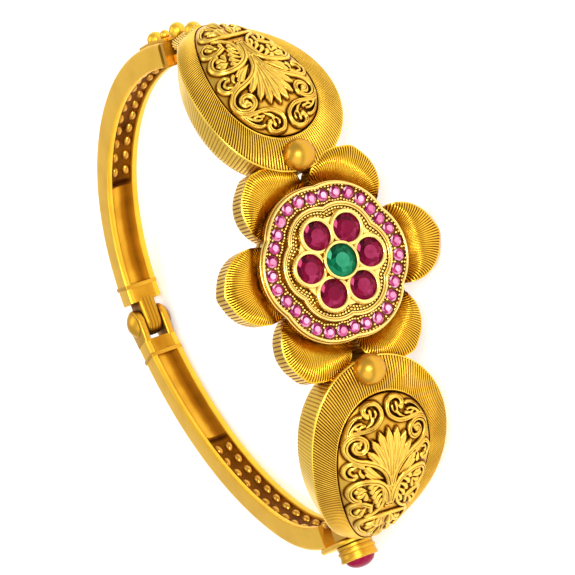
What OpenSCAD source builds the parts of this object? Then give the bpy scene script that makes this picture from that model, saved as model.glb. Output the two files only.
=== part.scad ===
// Openable temple bangle: two hinged rear arms and a rigid front panel with a stone-set flower,
// two ribbed leaves with scrollwork plaques, and a screw clasp.
// Everything is drawn in the ring's own axes: X points to the front through the flower,
// Y to the joint beside the upper leaf, Z along the wrist. The last step lays the ring on its side.

/* [Rest] */
// Turn about the ring's Y axis that brings the hinge down to the surface, degrees
rest_pitch = -12.1; // [-20:0.1:0]
// Turn that lets the ring lean on the lower leaf, degrees
rest_roll = 7; // [0:0.1:10]
// Height of the ring's centre above the surface
rest_height = 9.51; // [9:0.01:12]

/* [Arms] */
// Width of an arm along the wrist
arm_w = 4.6; // [3.6:0.1:6]
// Radial depth of an arm
arm_d = 3.15; // [2.6:0.05:4]
// Width of the rim on each side of the inner recess
rim_w = 0.8; // [0.5:0.05:1.2]
// Depth of the inner recess
recess_d = 0.7; // [0.3:0.05:1]
// Radius of the bosses on the recess floor
boss_r = 0.45; // [0.3:0.05:0.6]
// Distance between bosses along the arm
boss_pitch = 2.4; // [2:0.1:4]

/* [Hinge] */
// Radius of the knuckles
knuckle_r = 1.95; // [1.6:0.05:2.2]
// Radius of the pin
pin_r = 0.65; // [0.4:0.05:0.9]
// Radius of the domed pin heads
pin_head_r = 1.7; // [1.2:0.05:1.9]
// Running clearance round the pin
pin_clear = 0.05; // [0.02:0.01:0.1]

/* [Flower] */
// Distance from the flower's centre to a petal's centre
petal_out = 10.25; // [10.2:0.05:10.5]
// Radius of a petal's round outline
petal_r = 4.9; // [4.6:0.05:4.95]
// Height of the soft point at a petal's outer tip
petal_tip = 0.25; // [0:0.05:0.4]
// Radius of the lobed disc at its lobes
disc_r = 10.25; // [10.1:0.05:10.6]
// Radius of the circle on which the rubies lie
ruby_ring = 4.3; // [4.1:0.05:4.6]
// Radius of a ruby
ruby_r = 1.93; // [1.6:0.01:2]
// Radius of the emerald
emerald_r = 2.15; // [1.8:0.01:2.2]
// Number of small stones in the rim
pink_count = 31; // [24:1:32]
// Radius of a small stone
pink_r = 0.79; // [0.6:0.01:0.8]
// Turn of the hand-set disc and its stones about the flower's axis, degrees
flower_turn = -2; // [-5:0.5:5]
// Turn of the petals about the flower's axis, degrees
petal_turn = -1; // [-1.5:0.5:1.5]

/* [Leaves] */
// Half length of a leaf's top edge, along the ring
leaf_half_l = 14.3; // [13.5:0.1:14.6]
// Half width of a leaf, before its egg shape widens the broad end
leaf_half_w = 9.6; // [8.5:0.1:10]
// Half length of a plaque
plaque_half_l = 11.6; // [10:0.1:12]
// Half width of a plaque
plaque_half_w = 6.4; // [5.8:0.1:6.8]
// Height of the plaque's dome above its rim
dome_h = 1.7; // [1:0.1:2.2]
// Height of the raised scrollwork
relief_h = 0.45; // [0.3:0.05:0.7]

/* [Balls] */
// Radius of the balls between the leaves and the flower
ball_r = 2.05; // [1.8:0.05:2.2]
// Radius of the three small balls on the lug
lug_ball_r = 1.1; // [0.9:0.05:1.2]

/* [Clasp] */
// Radius of the screw's shank
shank_r = 0.8; // [0.6:0.05:1]
// Radius of the cup head at its rim
cup_r = 2.5; // [2.1:0.05:2.8]
// Height of the cup head
cup_h = 2.05; // [1.5:0.05:2.6]
// Radius of the ruby cabochon in the cup
cabochon_r = 2; // [1.6:0.05:2.2]

/* [Hidden] */

$fn = 64;
// Moves the middle of the box around the part to the frame's origin
rest_shift = [0.66, 1.81];
gold = "#D9A441";
ruby_red = "#A3123F";
emerald_green = "#0F7A55";
stone_pink = "#D8559A";

// Gap between pieces that lie against each other
gap = 0.05;

// Chains of tangent arcs along the inner face of an arm: [radius, sweep in degrees]
upper_arcs = [[24, 48], [30.7, 42], [30, 12]];
lower_arcs = [[43.3, 47], [21.5, 31]];
// Where each chain starts beside the hinge, and its heading in degrees from +X
upper_start = [-28.9, 2.2];
upper_heading = 95;
lower_start = [-28.5, 3.05];
lower_heading = 74.2;
// Stretch near the hinge that has a plain floor, in mm along the arm
upper_plain = 16.5;
lower_plain = 17;
// Length of the solid block at the hinge end of each arm, in mm
hinge_block = 2.2;
hinge_at = [-30.5, -0.75];
tongue_w = 2.3;

// Where each leaf lies: [centre x, centre y, radius of its crisp edge, offset along Z, roll];
// the lower one is mirrored in Y. The two are hand set and differ a little.
upper_set = [-0.5, 7.1, 29.3, 0, 4.4];
lower_set = [-1.1, 7.1, 30.9, 0.3, -2.2];
leaf_turn = 38;
leaf_bend = 31.2;
leaf_shift = 1;
leaf_egg = 0.18;
plaque_egg = 0.35;
plaque_shift = -0.9;
// Depth of the side wall at the narrow and at the broad end
wall_narrow = 2.9;
wall_broad = 4.6;
band_rise = 0.8;
pocket_d = 0.6;
// Gap under a plaque in its pocket
seat_gap = 0.09;
around = 48;

// Shifts of the six hand-set petals: [along Y, along Z, radius more than petal_r]
petal_sets = [[-0.1, 0.1, -0.05], [-0.15, 0.3, 0], [0, 0.3, 0.05], [-0.15, 0.5, 0],
    [-0.2, 0.05, 0.2], [0, 0.45, -0.05]];

// Flower levels along X
flower_back = 24.9;
petal_edge_x = 28;
petal_ridge_x = 28.6;
petal_dip_x = 26.9;
disc_under = 27.1;
rim_x = 28.7;
ruby_x = 30.1;
emerald_x = 30.6;
band_x = 24.4;
band_t = 1;
band_w = 2.4;
upper_ball_at = [29.35, 14.05, 0.6];
lower_ball_at = [30.3, 13.95, 1];

// Screw axis: a point on it in the mirrored plane and its direction in degrees from +X
screw_at = [8.9, 36.4];
screw_turn = 83;
tongue_t = 0.8;

function dir(a) = [cos(a), sin(a)];
function along(p, a, d) = p + d * dir(a);

// Start point and heading of arc i in a chain
function arc_start(p, h, arcs, i) =
    i == 0 ? [p, h] :
    let(before = arc_start(p, h, arcs, i - 1), a = arcs[i - 1])
    [arc_centre(before, a) + a[0] * dir(before[1] - a[1] + 90), before[1] - a[1]];
function arc_centre(at, a) = at[0] + a[0] * dir(at[1] - 90);

// Point and outward angle at a distance s along a chain
function on_chain(p, h, arcs, s, i = 0) =
    let(at = arc_start(p, h, arcs, i), a = arcs[i], run = a[0] * a[1] * PI / 180)
    (s > run && i < len(arcs) - 1) ? on_chain(p, h, arcs, s - run, i + 1) :
    let(turn = at[1] + 90 - s / a[0] * 180 / PI)
    [arc_centre(at, a) + a[0] * dir(turn), turn];
function chain_length(arcs, i = 0) =
    i == len(arcs) ? 0 : arcs[i][0] * arcs[i][1] * PI / 180 + chain_length(arcs, i + 1);

// Section of an arm, outwards from its inner face and along the wrist, with its recess
function arm_section(recess) =
    let(corner = 0.5)
    [[0, -arm_w / 2], [0, -arm_w / 2 + rim_w], [recess, -arm_w / 2 + rim_w],
        [recess, arm_w / 2 - rim_w], [0, arm_w / 2 - rim_w], [0, arm_w / 2],
        [arm_d - corner, arm_w / 2], [arm_d, arm_w / 2 - corner],
        [arm_d, -arm_w / 2 + corner], [arm_d - corner, -arm_w / 2]];

// Stations of an arm: [distance along its chain, depth of the recess there]
function arm_stations(plain, full) = concat(
    [[0, 0.02], [hinge_block, 0.02]],
    [for (k = [0:9]) [mix(hinge_block + 0.03, plain, k / 9), 0.45]],
    [for (k = [0:34]) [mix(plain + 0.03, full, k / 34), recess_d]]);

// An arm's channel, swept along its chain
module arm_body(p, h, arcs, plain) {
    stations = arm_stations(plain, chain_length(arcs));
    last = 10 * (len(stations) - 1);
    points = [for (st = stations)
        let(at = on_chain(p, h, arcs, st[0]))
        for (q = arm_section(st[1])) let(c = at[0] + q[0] * dir(at[1])) [c[0], c[1], q[1]]];
    cap = [[0, 1, 2], [0, 2, 9], [9, 2, 8], [8, 2, 3], [8, 3, 7], [7, 3, 6], [6, 3, 5], [5, 3, 4]];
    faces = concat(
        [for (f = cap) [f[2], f[1], f[0]]],
        [for (i = [0:len(stations) - 2], j = [0:9])
            let(a = i * 10 + j, b = i * 10 + (j + 1) % 10)
            each [[a, b, b + 10], [a, b + 10, a + 10]]],
        [for (f = cap) [f[0] + last, f[1] + last, f[2] + last]]);
    polyhedron(points, faces);
}

module bosses(p, h, arcs, s0, s1) {
    count = floor((s1 - s0) / boss_pitch);
    for (i = [0:count - 1], side = [-1, 1]) {
        at = on_chain(p, h, arcs, s0 + (i + 0.5) * (s1 - s0) / count);
        centre = at[0] + (recess_d + 0.3) * dir(at[1]);
        translate([centre[0], centre[1], side * 0.85])
            rotate([0, 0, at[1]])
                rotate([0, -90, 0])
                    cylinder(r = boss_r, h = 0.3 + recess_d * 0.75, $fn = 24);
    }
}

// Rounded plate about a hinge's centre that reaches back to an arm's block, in the ring's plane
module knuckle_outline(centre, to, turn) {
    union() {
        translate(centre) circle(r = knuckle_r, $fn = 48);
        polygon([to, to + arm_d * dir(turn), centre + knuckle_r * 0.97 * dir(turn),
            centre - knuckle_r * 0.97 * dir(turn)]);
    }
}

module upper_arm() {
    full = chain_length(upper_arcs);
    end = on_chain(upper_start, upper_heading, upper_arcs, full - 2.2);
    start = on_chain(upper_start, upper_heading, upper_arcs, 0.4);
    color(gold) difference() {
        union() {
            arm_body(upper_start, upper_heading, upper_arcs, upper_plain);
            bosses(upper_start, upper_heading, upper_arcs, upper_plain + 0.6, full - 0.6);
            translate([0, 0, -tongue_w / 2]) linear_extrude(tongue_w)
                knuckle_outline(hinge_at, start[0], start[1]);
        }
        translate([hinge_at[0], hinge_at[1], -5]) cylinder(r = pin_r + 0.03, h = 10);
        // The end is hollow, as a folded channel is
        translate([end[0][0], end[0][1], 0]) rotate([0, 0, end[1] - 90])
            translate([0, recess_d + 0.25, -arm_w / 2 + rim_w])
                cube([6, arm_d - recess_d - 0.85, arm_w - 2 * rim_w]);
    }
}

module lower_arm_mirrored() {
    full = chain_length(lower_arcs);
    start = on_chain(lower_start, lower_heading, lower_arcs, 0.4);
    end = on_chain(lower_start, lower_heading, lower_arcs, full - 2.2);
    cheek_w = (arm_w - tongue_w) / 2 - 0.1;
    difference() {
        union() {
            arm_body(lower_start, lower_heading, lower_arcs, lower_plain);
            bosses(lower_start, lower_heading, lower_arcs, lower_plain + 0.6, full - 0.6);
            for (side = [0, 1]) mirror([0, 0, side])
                translate([0, 0, tongue_w / 2 + 0.1]) linear_extrude(cheek_w)
                    knuckle_outline([hinge_at[0], -hinge_at[1]], start[0], start[1]);
            clasp_tongue();
        }
        translate([hinge_at[0], -hinge_at[1], -5]) cylinder(r = pin_r + pin_clear, h = 10);
        translate([end[0][0], end[0][1], 0]) rotate([0, 0, end[1] - 90])
            translate([0, recess_d + 0.25, -arm_w / 2 + rim_w])
                cube([6, arm_d - recess_d - 0.85, arm_w - 2 * rim_w]);
        on_screw_axis(-4) cylinder(r = shank_r + 0.05, h = 4);
    }
}

module lower_arm() {
    color(gold) mirror([0, 1, 0]) lower_arm_mirrored();
}

// Puts children on the screw's axis, +Z outwards, at a height measured from the cup's middle
module on_screw_axis(height) {
    at = screw_at + height * dir(screw_turn);
    translate([at[0], at[1], 0]) rotate([0, 0, screw_turn]) rotate([0, 90, 0]) children();
}

// Plate under the cup, soldered to the outside of the lower arm
module clasp_tongue() {
    on_screw_axis(-cup_h / 2 - gap - tongue_t) linear_extrude(tongue_t) union() {
        circle(r = arm_w / 2, $fn = 48);
        translate([-arm_w / 2, 0]) square([arm_w, 5]);
        translate([0, 5]) circle(r = arm_w / 2, $fn = 48);
    }
}

module clasp_screw() {
    color(gold) mirror([0, 1, 0]) {
        on_screw_axis(-cup_h / 2) difference() {
            union() {
                cylinder(r1 = cup_r - 0.25, r2 = cup_r, h = cup_h, $fn = 64);
                translate([0, 0, -tongue_t - 2.4]) cylinder(r = shank_r, h = tongue_t + 2.5);
            }
            translate([0, 0, cup_h - 0.7]) cylinder(r = cabochon_r + gap, h = 1);
        }
    }
}

module clasp_ruby() {
    color(ruby_red) mirror([0, 1, 0])
        on_screw_axis(cup_h / 2 - 0.65) rotate_extrude($fn = 48) polygon(concat(
            [[0, 0], [cabochon_r, 0]],
            [for (a = [0:9:81]) [cabochon_r * cos(a), 0.5 + 1.35 * sin(a)]], [[0, 1.85]]));
}

module pin_head() {
    dome = 0.75;
    ball = (pin_head_r * pin_head_r + dome * dome) / (2 * dome);
    rotate_extrude($fn = 64) polygon(concat([[0, 0]],
        [for (k = [0:8]) let(x = pin_head_r * (1 - k / 8))
            [x, sqrt(ball * ball - x * x) - (ball - dome)]]));
}

module hinge_pin() {
    color(gold) translate([hinge_at[0], hinge_at[1], 0]) {
        cylinder(r = pin_r, h = arm_w + 0.2, center = true);
        for (side = [0, 1]) mirror([0, 0, side]) translate([0, 0, arm_w / 2 + gap]) pin_head();
    }
}

// Egg outline at angle t: [along from the narrow end to the broad end, across]
function egg(half_l, half_w, k, t) =
    [half_l * cos(t), half_w * sin(t) * (1 + k * cos(t))];
function leaf_point(t) = egg(leaf_half_l, leaf_half_w, leaf_egg, t) + [leaf_shift, 0];
function plaque_point(t) = egg(plaque_half_l, plaque_half_w, plaque_egg, t) + [plaque_shift, 0];
function mix(a, b, k) = a + (b - a) * k;

// Maps a point of the flattened leaf L to the ring: s along, z across, h above the crisp edge
function wrap(L, s, z, h) =
    let(a = leaf_turn - s / leaf_bend * 180 / PI, r = L[2] + h + z * tan(L[4]))
    [L[0] + r * cos(a), L[1] + r * sin(a), z + L[3]];
function wall_d(s) = mix(wall_narrow, wall_broad, (s - leaf_shift + leaf_half_l) / (2 * leaf_half_l))
    - max(0, (-s - 9.5) / 3.8);

// Closed solid through rings of equal length, with a point at each end
function ring_faces(rings, n) = concat(
    [for (j = [0:n - 1]) [0, 1 + (j + 1) % n, 1 + j]],
    [for (i = [0:rings - 2], j = [0:n - 1])
        let(a = 1 + i * n + j, b = 1 + i * n + (j + 1) % n)
        each [[a, b, b + n], [a, b + n, a + n]]],
    [for (j = [0:n - 1]) let(a = 1 + (rings - 1) * n)
        [a + j, a + (j + 1) % n, 1 + rings * n]]);
module ring_solid(first, rings, last) {
    n = len(rings[0]);
    points = concat([first], [for (ring = rings) each ring], [last]);
    polyhedron(points, ring_faces(len(rings), n));
}

angles = [for (i = [0:around - 1]) i * 360 / around];
function leaf_ring(L, k) = [for (t = angles)
    let(p = k * (leaf_point(t) - [leaf_shift, 0]) + [leaf_shift, 0]) wrap(L, p[0], p[1], 0)];
function back_ring(L, k) = [for (t = angles)
    let(p = k * (leaf_point(t) - [leaf_shift, 0]) + [leaf_shift, 0])
    wrap(L, p[0], p[1], -wall_d(p[0]))];
function band_ring(L, k, h) = [for (t = angles)
    let(p = mix(leaf_point(t), plaque_point(t), k)) wrap(L, p[0], p[1], h)];
function plaque_at(t, k) = k * (plaque_point(t) - [plaque_shift, 0]) + [plaque_shift, 0];
function plaque_ring(L, k, h, list = angles) = [for (t = list)
    let(p = plaque_at(t, k)) wrap(L, p[0], p[1], h)];
// A plaque has fewer points round its outline than its pocket has
plaque_angles = [for (i = [0:29]) i * 12];

module leaf(L, ball_at, side) {
    difference() {
        ring_solid(wrap(L, leaf_shift, 0, -wall_d(leaf_shift)),
            [back_ring(L, 0.25), back_ring(L, 0.5), back_ring(L, 0.75), back_ring(L, 0.97),
                leaf_ring(L, 1),
                band_ring(L, 0.35, band_rise * 0.62), band_ring(L, 0.75, band_rise * 0.97),
                band_ring(L, 0.96, band_rise), plaque_ring(L, 1.0, band_rise - pocket_d),
                plaque_ring(L, 0.7, band_rise - pocket_d),
                plaque_ring(L, 0.35, band_rise - pocket_d)],
            wrap(L, plaque_shift, 0, band_rise - pocket_d));
        // Seat of the ball, room for the petals, and a hole for the barrel at the narrow end
        hull() translate(ball_at) sphere(r = ball_r + gap, $fn = 28);
        for (i = [0:5]) mirror([0, side > 0 ? 0 : 1, 0]) upright(20)
            linear_extrude(12) polygon([for (t = [0:6:354]) petal_outline(i, 1, t, 0.12)]);
        hull() barrel(gap);
        hull() sleeve(gap);
    }
}

module upper_leaf() { color(gold) leaf(upper_set, upper_ball_at, 1); }
module lower_leaf() { color(gold) mirror([0, 1, 0]) leaf(lower_set, lower_ball_at, -1); }

// Height of the plaque's dome at a point of the flattened leaf
function dome_at(s, z) =
    let(u = (s - plaque_shift) / plaque_half_l, v = z / plaque_half_w / (1 + plaque_egg * u))
    dome_h * max(0, 1 - pow(u * u + v * v, 1.3));
function on_plaque(L, s, z, h) = wrap(L, s, z, band_rise + dome_at(s, z) + h);

// Scrolls, as spirals that may be stretched across:
// [centre s, centre z, first radius, last radius, stretch across, first angle, sweep, width]
scrolls = [
    [8.2, 1.65, 1.65, 0.5, 0.85, 185, -450, 0.6],
    [5.0, 4.0, 1.75, 0.4, 0.95, 235, -520, 0.6],
    [1.6, 5.15, 0.85, 0.3, 1, 60, 330, 0.5],
    [-1.2, 3.3, 1.3, 0.5, 1.5, 215, -430, 0.55],
    [-4.9, 3.1, 1.25, 0.45, 1.5, 220, -430, 0.55],
    [-8.2, 2.2, 1.1, 0.4, 1, 200, -430, 0.5]];
// Stems: [first s, first z, bend s, bend z, last s, last z, width]
stems = [
    [-1.6, 0.25, 0.6, 2.6, 3.7, 2.5, 0.6],
    [-6, 0.2, -4.4, 1.4, -2.4, 1.4, 0.5],
    [-10, 0.2, -8.2, 0.4, -5.9, 1.2, 0.5],
    [1.0, 4.5, 1.9, 3.9, 3.4, 4.9, 0.45],
    [9.4, 0.7, 9.7, 2.4, 8.8, 4.0, 0.5]];
// Leaflets of the palmette and of the sprays: [root s, root z, tip s, tip z, width]
leaflets = [
    [-3, 0, 6.7, 0, 0.8],
    [-2, 0.2, 6.3, 1.1, 0.75],
    [-2, 0.3, 5.5, 2.4, 0.75],
    [-2, 0.4, 3.6, 3.0, 0.7],
    [-2.2, 0.6, 1.9, 3.6, 0.65],
    [6.4, 3.9, 8.2, 3.5, 0.6],
    [-3.4, 2.2, -2.6, 5.2, 0.6],
    [-6.9, 1.6, -6.9, 4.0, 0.6],
    [-10.6, 0.9, -9.6, 2.0, 0.6]];

function scroll_path(c) = [for (k = [0:8])
    let(q = k / 8, a = c[5] + c[6] * q, r = mix(c[2], c[3], q))
    [c[0] + r * cos(a), c[1] + c[4] * r * sin(a), c[7] * (1 - 0.25 * q)]];
function stem_path(c) = [for (k = [0:3]) let(q = k / 3)
    [(1 - q) * (1 - q) * c[0] + 2 * q * (1 - q) * c[2] + q * q * c[4],
     (1 - q) * (1 - q) * c[1] + 2 * q * (1 - q) * c[3] + q * q * c[5], c[6]]];

// Raised wire along a path of [s, z, width]
module wire(L, path, side) {
    n = len(path);
    turns = [for (i = [0:n - 1]) let(a = path[max(i - 1, 0)], b = path[min(i + 1, n - 1)])
        atan2(b[1] - a[1], b[0] - a[0]) + 90];
    rings = [for (i = [0:n - 1]) let(p = path[i], q = dir(turns[i]) * p[2] / 2)
        [on_plaque(L, p[0] + q[0], side * (p[1] + q[1]), -0.28),
         on_plaque(L, p[0] + q[0] * 0.6, side * (p[1] + q[1] * 0.6), relief_h),
         on_plaque(L, p[0] - q[0] * 0.6, side * (p[1] - q[1] * 0.6), relief_h),
         on_plaque(L, p[0] - q[0], side * (p[1] - q[1]), -0.28)]];
    faces = concat([[2, 1, 0], [3, 2, 0]],
        [for (i = [0:n - 2], j = [0:3]) let(a = i * 4 + j, b = i * 4 + (j + 1) % 4)
            each [[b, b + 4, a], [b + 4, a + 4, a]]],
        [let(e = (n - 1) * 4) [e, e + 1, e + 2], let(e = (n - 1) * 4) [e, e + 2, e + 3]]);
    polyhedron([for (r = rings) each r],
        side > 0 ? faces : [for (f = faces) [f[2], f[1], f[0]]]);
}

module leaflet(L, c, side) {
    hull() for (q = [0, 0.7, 1]) {
        p = on_plaque(L, mix(c[0], c[2], q), side * mix(c[1], c[3], q), q == 0.7 ? 0.12 : 0);
        w = c[4] * (q == 0 ? 0.35 : q == 1 ? 0.45 : 1);
        translate(p) rotate([0, 0, leaf_turn]) sphere(r = w / 2 + 0.12, $fn = 4);
    }
}

module plaque(L) {
    union() {
        ring_solid(wrap(L, plaque_shift, 0, band_rise - pocket_d + seat_gap),
            [plaque_ring(L, 0.35, band_rise - pocket_d + seat_gap, plaque_angles),
                plaque_ring(L, 0.7, band_rise - pocket_d + seat_gap, plaque_angles),
                plaque_ring(L, 0.98, band_rise - pocket_d + seat_gap, plaque_angles),
                plaque_ring(L, 0.98, band_rise, plaque_angles),
                for (k = [0.88, 0.66, 0.35])
                    [for (t = plaque_angles) let(p = plaque_at(t, k)) on_plaque(L, p[0], p[1], 0)]],
            on_plaque(L, plaque_shift, 0, 0));
        for (side = [-1, 1]) {
            for (c = scrolls) wire(L, scroll_path(c), side);
            for (c = stems) wire(L, stem_path(c), side);
            for (c = leaflets) if (side > 0 || c[3] > 0) leaflet(L, c, side);
        }
    }
}

module upper_plaque() { color(gold) plaque(upper_set); }
module lower_plaque() { color(gold) mirror([0, 1, 0]) plaque(lower_set); }

// Flower axes: X stays, the petals' angles are counted from +Y towards +Z
module at_flower(a) {
    rotate([flower_turn + a, 0, 0]) children();
}

// A petal: round outline with a soft point, flat side wall, a crisp edge, a rounded ridge, and a
// dip under the disc
petal_rows = 30;
function petal_turned(i) = 60 * i + 30 + petal_turn;
function petal_centre(i) = petal_out * dir(petal_turned(i)) + [petal_sets[i][0], petal_sets[i][1]];
function petal_outline(i, k, t, more = 0) =
    let(point = petal_tip * exp(-pow((t > 180 ? t - 360 : t) / 12, 2)))
    petal_centre(i) + (k * (petal_r + petal_sets[i][2] + point) + more) * dir(petal_turned(i) + t);
function petal_top(p, h) =
    let(k = min(1, max(0, (norm(p) - disc_r - 0.35) / 1.7)))
    mix(petal_dip_x, h, k * (2 - k));
function petal_ring(i, k, x) = [for (j = [0:petal_rows - 1])
    let(p = petal_outline(i, k, 360 - (j + 1) * 360 / petal_rows))
    [x < petal_edge_x - 0.1 ? x : petal_top(p, x), p[0], p[1]]];

module petal(i) {
    c = petal_centre(i);
    color(gold) ring_solid([flower_back, c[0], c[1]],
        [petal_ring(i, 0.5, flower_back), petal_ring(i, 0.96, flower_back),
            petal_ring(i, 1, petal_edge_x), petal_ring(i, 0.9, petal_ridge_x - 0.18),
            petal_ring(i, 0.75, petal_ridge_x), petal_ring(i, 0.5, petal_ridge_x - 0.05),
            petal_ring(i, 0.25, petal_ridge_x - 0.25)],
        [petal_top(c, petal_ridge_x - 0.35), c[0], c[1]]);
}

module petal_1() { petal(0); }
module petal_2() { petal(1); }
module petal_3() { petal(2); }
module petal_4() { petal(3); }
module petal_5() { petal(4); }
module petal_6() { petal(5); }

// Six-lobed plate: circles whose centres lie out at the given distance, towards the petals
module lobed(r, out) {
    for (i = [0:5]) rotate(60 * i + 30) translate([out, 0]) circle(r = r - out);
}
// Turns a flat drawing (x to +Y, y to +Z, height to +X) into the flower's axes
module upright(x) {
    translate([x, 0, 0]) multmatrix([[0, 0, 1, 0], [1, 0, 0, 0], [0, 1, 0, 0], [0, 0, 0, 1]])
        children();
}

module flower_disc() {
    channel_in = 7.65;
    floor_h = rim_x - disc_under - 0.75;
    color(gold) at_flower(0) upright(disc_under) difference() {
        union() {
            linear_extrude(0.85) lobed(disc_r, 3);
            // Rim outside the channel of the small stones
            translate([0, 0, 0.5]) linear_extrude(rim_x - disc_under - 0.5) difference() {
                lobed(disc_r - 0.05, 3);
                lobed(disc_r - 0.38, 3);
            }
            // Lobed wire, and the step of the seed beads inside it
            translate([0, 0, 0.5]) linear_extrude(29.3 - disc_under - 0.5) difference() {
                lobed(channel_in, 3.1);
                lobed(channel_in - 0.4, 3.1);
            }
            translate([0, 0, 0.4]) linear_extrude(29.3 - disc_under - 0.75)
                lobed(channel_in - 0.2, 3.1);
            translate([0, 0, flower_back - disc_under + gap]) cylinder(r = 5, h = 3);
            translate([0, 0, 0.6]) cylinder(r = 5.6, h = 29.75 - disc_under - 0.6);
            for (i = [0:5]) rotate([0, 0, 60 * i + 30]) translate([ruby_ring, 0, 0.3])
                cylinder(r = ruby_r + 0.45, h = ruby_x - 0.25 - disc_under - 0.3);
            translate([0, 0, 0.7]) cylinder(r = emerald_r + 0.3, h = emerald_x - 1 - disc_under);
        }
        translate([0, 0, emerald_x - disc_under - 1.8]) cylinder(r = emerald_r + gap, h = 5);
        for (i = [0:5]) rotate([0, 0, 60 * i + 30])
            translate([ruby_ring, 0, ruby_x - disc_under - 1.6]) cylinder(r = ruby_r + gap, h = 5);
    }
}

// Round cut stone: table, crown facets, girdle and pavilion
module cut_stone(r, crown, deep, sides) {
    function ring(k, x, turn) = [for (i = [0:sides - 1]) let(a = -(i + turn) * 360 / sides)
        [k * r * cos(a), k * r * sin(a), x]];
    ring_solid([0, 0, -deep],
        [ring(1, -0.12, 0), ring(1, 0.05, 0), ring(0.8, crown * 0.6, 0.5), ring(0.5, crown, 0)],
        [0, 0, crown]);
}
module small_stone(r, crown, deep) {
    function ring(k, x) = [for (i = [0:7]) let(a = -i * 45) [k * r * cos(a), k * r * sin(a), x]];
    ring_solid([0, 0, -deep], [ring(1, -0.08), ring(1, 0.03), ring(0.55, crown)], [0, 0, crown]);
}

module emerald() {
    color(emerald_green) at_flower(0) upright(emerald_x - 0.55)
        cut_stone(emerald_r, 0.55, 1.2, 12);
}

module ruby(i) {
    color(ruby_red) at_flower(60 * i + 30) translate([0, ruby_ring, 0])
        upright(ruby_x - 0.5) cut_stone(ruby_r, 0.5, 1.05, 12);
}
module ruby_1() { ruby(0); }
module ruby_2() { ruby(1); }
module ruby_3() { ruby(2); }
module ruby_4() { ruby(3); }
module ruby_5() { ruby(4); }
module ruby_6() { ruby(5); }

module pink_stones() {
    color(stone_pink) for (i = [0:pink_count - 1]) {
        a = (i + 0.5) * 360 / pink_count;
        p = (8.7 + 0.3 * cos(6 * (a - 30))) * dir(a);
        at_flower(0) translate([rim_x - 0.25, p[0], p[1]])
            upright(0) small_stone(pink_r, 0.38, 0.42);
    }
}

module upper_ball() { color(gold) translate(upper_ball_at) sphere(r = ball_r); }
module lower_ball() { color(gold) mirror([0, 1, 0]) translate(lower_ball_at) sphere(r = ball_r); }

// Lug over the top joint: strip, granulated sleeve, three balls and a small dome:
// [x, y, radius as a part of a ball's]
lug_balls = [[-0.9, 34.15, 1], [6.1, 34.2, 1], [10.6, 33.5, 1], [2.2, 34.3, 0.6]];
module turned_ball(r) {
    rotate_extrude($fn = 32) polygon(concat([[0, -r]],
        [for (a = [-75:15:75]) [r * cos(a), r * sin(a)]], [[0, r]]));
}
module joint_lug() {
    third = arc_centre(arc_start(upper_start, upper_heading, upper_arcs, 2), upper_arcs[2]);
    inner = upper_arcs[2][0] + arm_d + gap;
    color(gold) difference() {
        union() {
            translate([third[0], third[1], 0]) rotate([0, 0, 82.5])
                rotate_extrude(angle = 14, $fn = 180) translate([inner, -1.2]) square([0.4, 2.4]);
            translate([3.7, 33.32, -0.8]) cube([2.5, 0.4, 1.6]);
            sleeve(0);
            for (b = lug_balls) translate([b[0], b[1], 0]) turned_ball(lug_ball_r * b[2]);
        }
        barrel(gap);
        // The balls stand on the arm
        translate([third[0], third[1], -3]) cylinder(r = inner - 0.01, h = 6, $fn = 180);
    }
}

// Outer face of the strap behind a leaf, from the joint to the flower. Its gap leaves room for
// the leaf's roll.
strap_gap = 0.25;
function band_path(L, first, last) = concat(first, [for (s = [-11.5:2.5:15])
    let(p = wrap(L, s, 0, -wall_d(s) - strap_gap)) [p[0], p[1]]], last);
upper_path = band_path(upper_set, [[4.6, 31.45], [8.6, 31.05]], [[23.6, 11.6], [24.4, 9.8], [band_x, 8.2]]);
lower_path = band_path(lower_set, [[10, 33.05]], [[24.8, 10.6], [24.5, 9.5], [band_x, 8.3]]);
function offset_path(path, d) = [for (i = [0:len(path) - 1])
    let(a = path[max(i - 1, 0)], b = path[min(i + 1, len(path) - 1)],
        h = atan2(b[1] - a[1], b[0] - a[0])) path[i] + d * dir(h - 90)];
function reverse(path) = [for (i = [len(path) - 1:-1:0]) path[i]];
function flip(path) = [for (p = reverse(path)) [p[0], -p[1]]];

module front_band() {
    outer = concat(upper_path, flip(lower_path));
    inner = offset_path(outer, band_t);
    color(gold) union() {
        translate([0, 0, -band_w / 2]) linear_extrude(band_w)
            polygon(concat(outer, reverse(inner)));
        // Plate behind the petals
        translate([band_x - 0.4, 0, 0]) rotate([0, 90, 0])
            cylinder(r = 9, h = flower_back - gap - band_x + 0.4);
        top_joint();
        mirror([0, 1, 0]) bottom_joint();
    }
}

// Rod from the top joint's flange to the leaf, and the lug's granulated sleeve round it
module barrel(more) {
    translate([4.4, 32.41, 0]) rotate([0, 90, 3.5]) cylinder(r = 0.55 + more, h = 8.2, $fn = 32);
}
module sleeve(more) {
    translate([5.35, 32.47, 0]) rotate([0, 90, 3.5]) cylinder(r = 0.9 + more, h = 7, $fn = 48);
}

// Flange, tongue in the upper arm's open end, and barrel
module top_joint() {
    full = chain_length(upper_arcs);
    end = on_chain(upper_start, upper_heading, upper_arcs, full);
    translate([end[0][0], end[0][1], 0]) rotate([0, 0, end[1] - 90]) {
        translate([0.6, 0, -arm_w / 2 + 0.1]) cube([0.75, arm_d, arm_w - 0.2]);
        translate([-1.8, arm_d - 0.65 - 0.9, -1.3]) cube([3, 0.8, 2.6]);
    }
    barrel(0);
}

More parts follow.
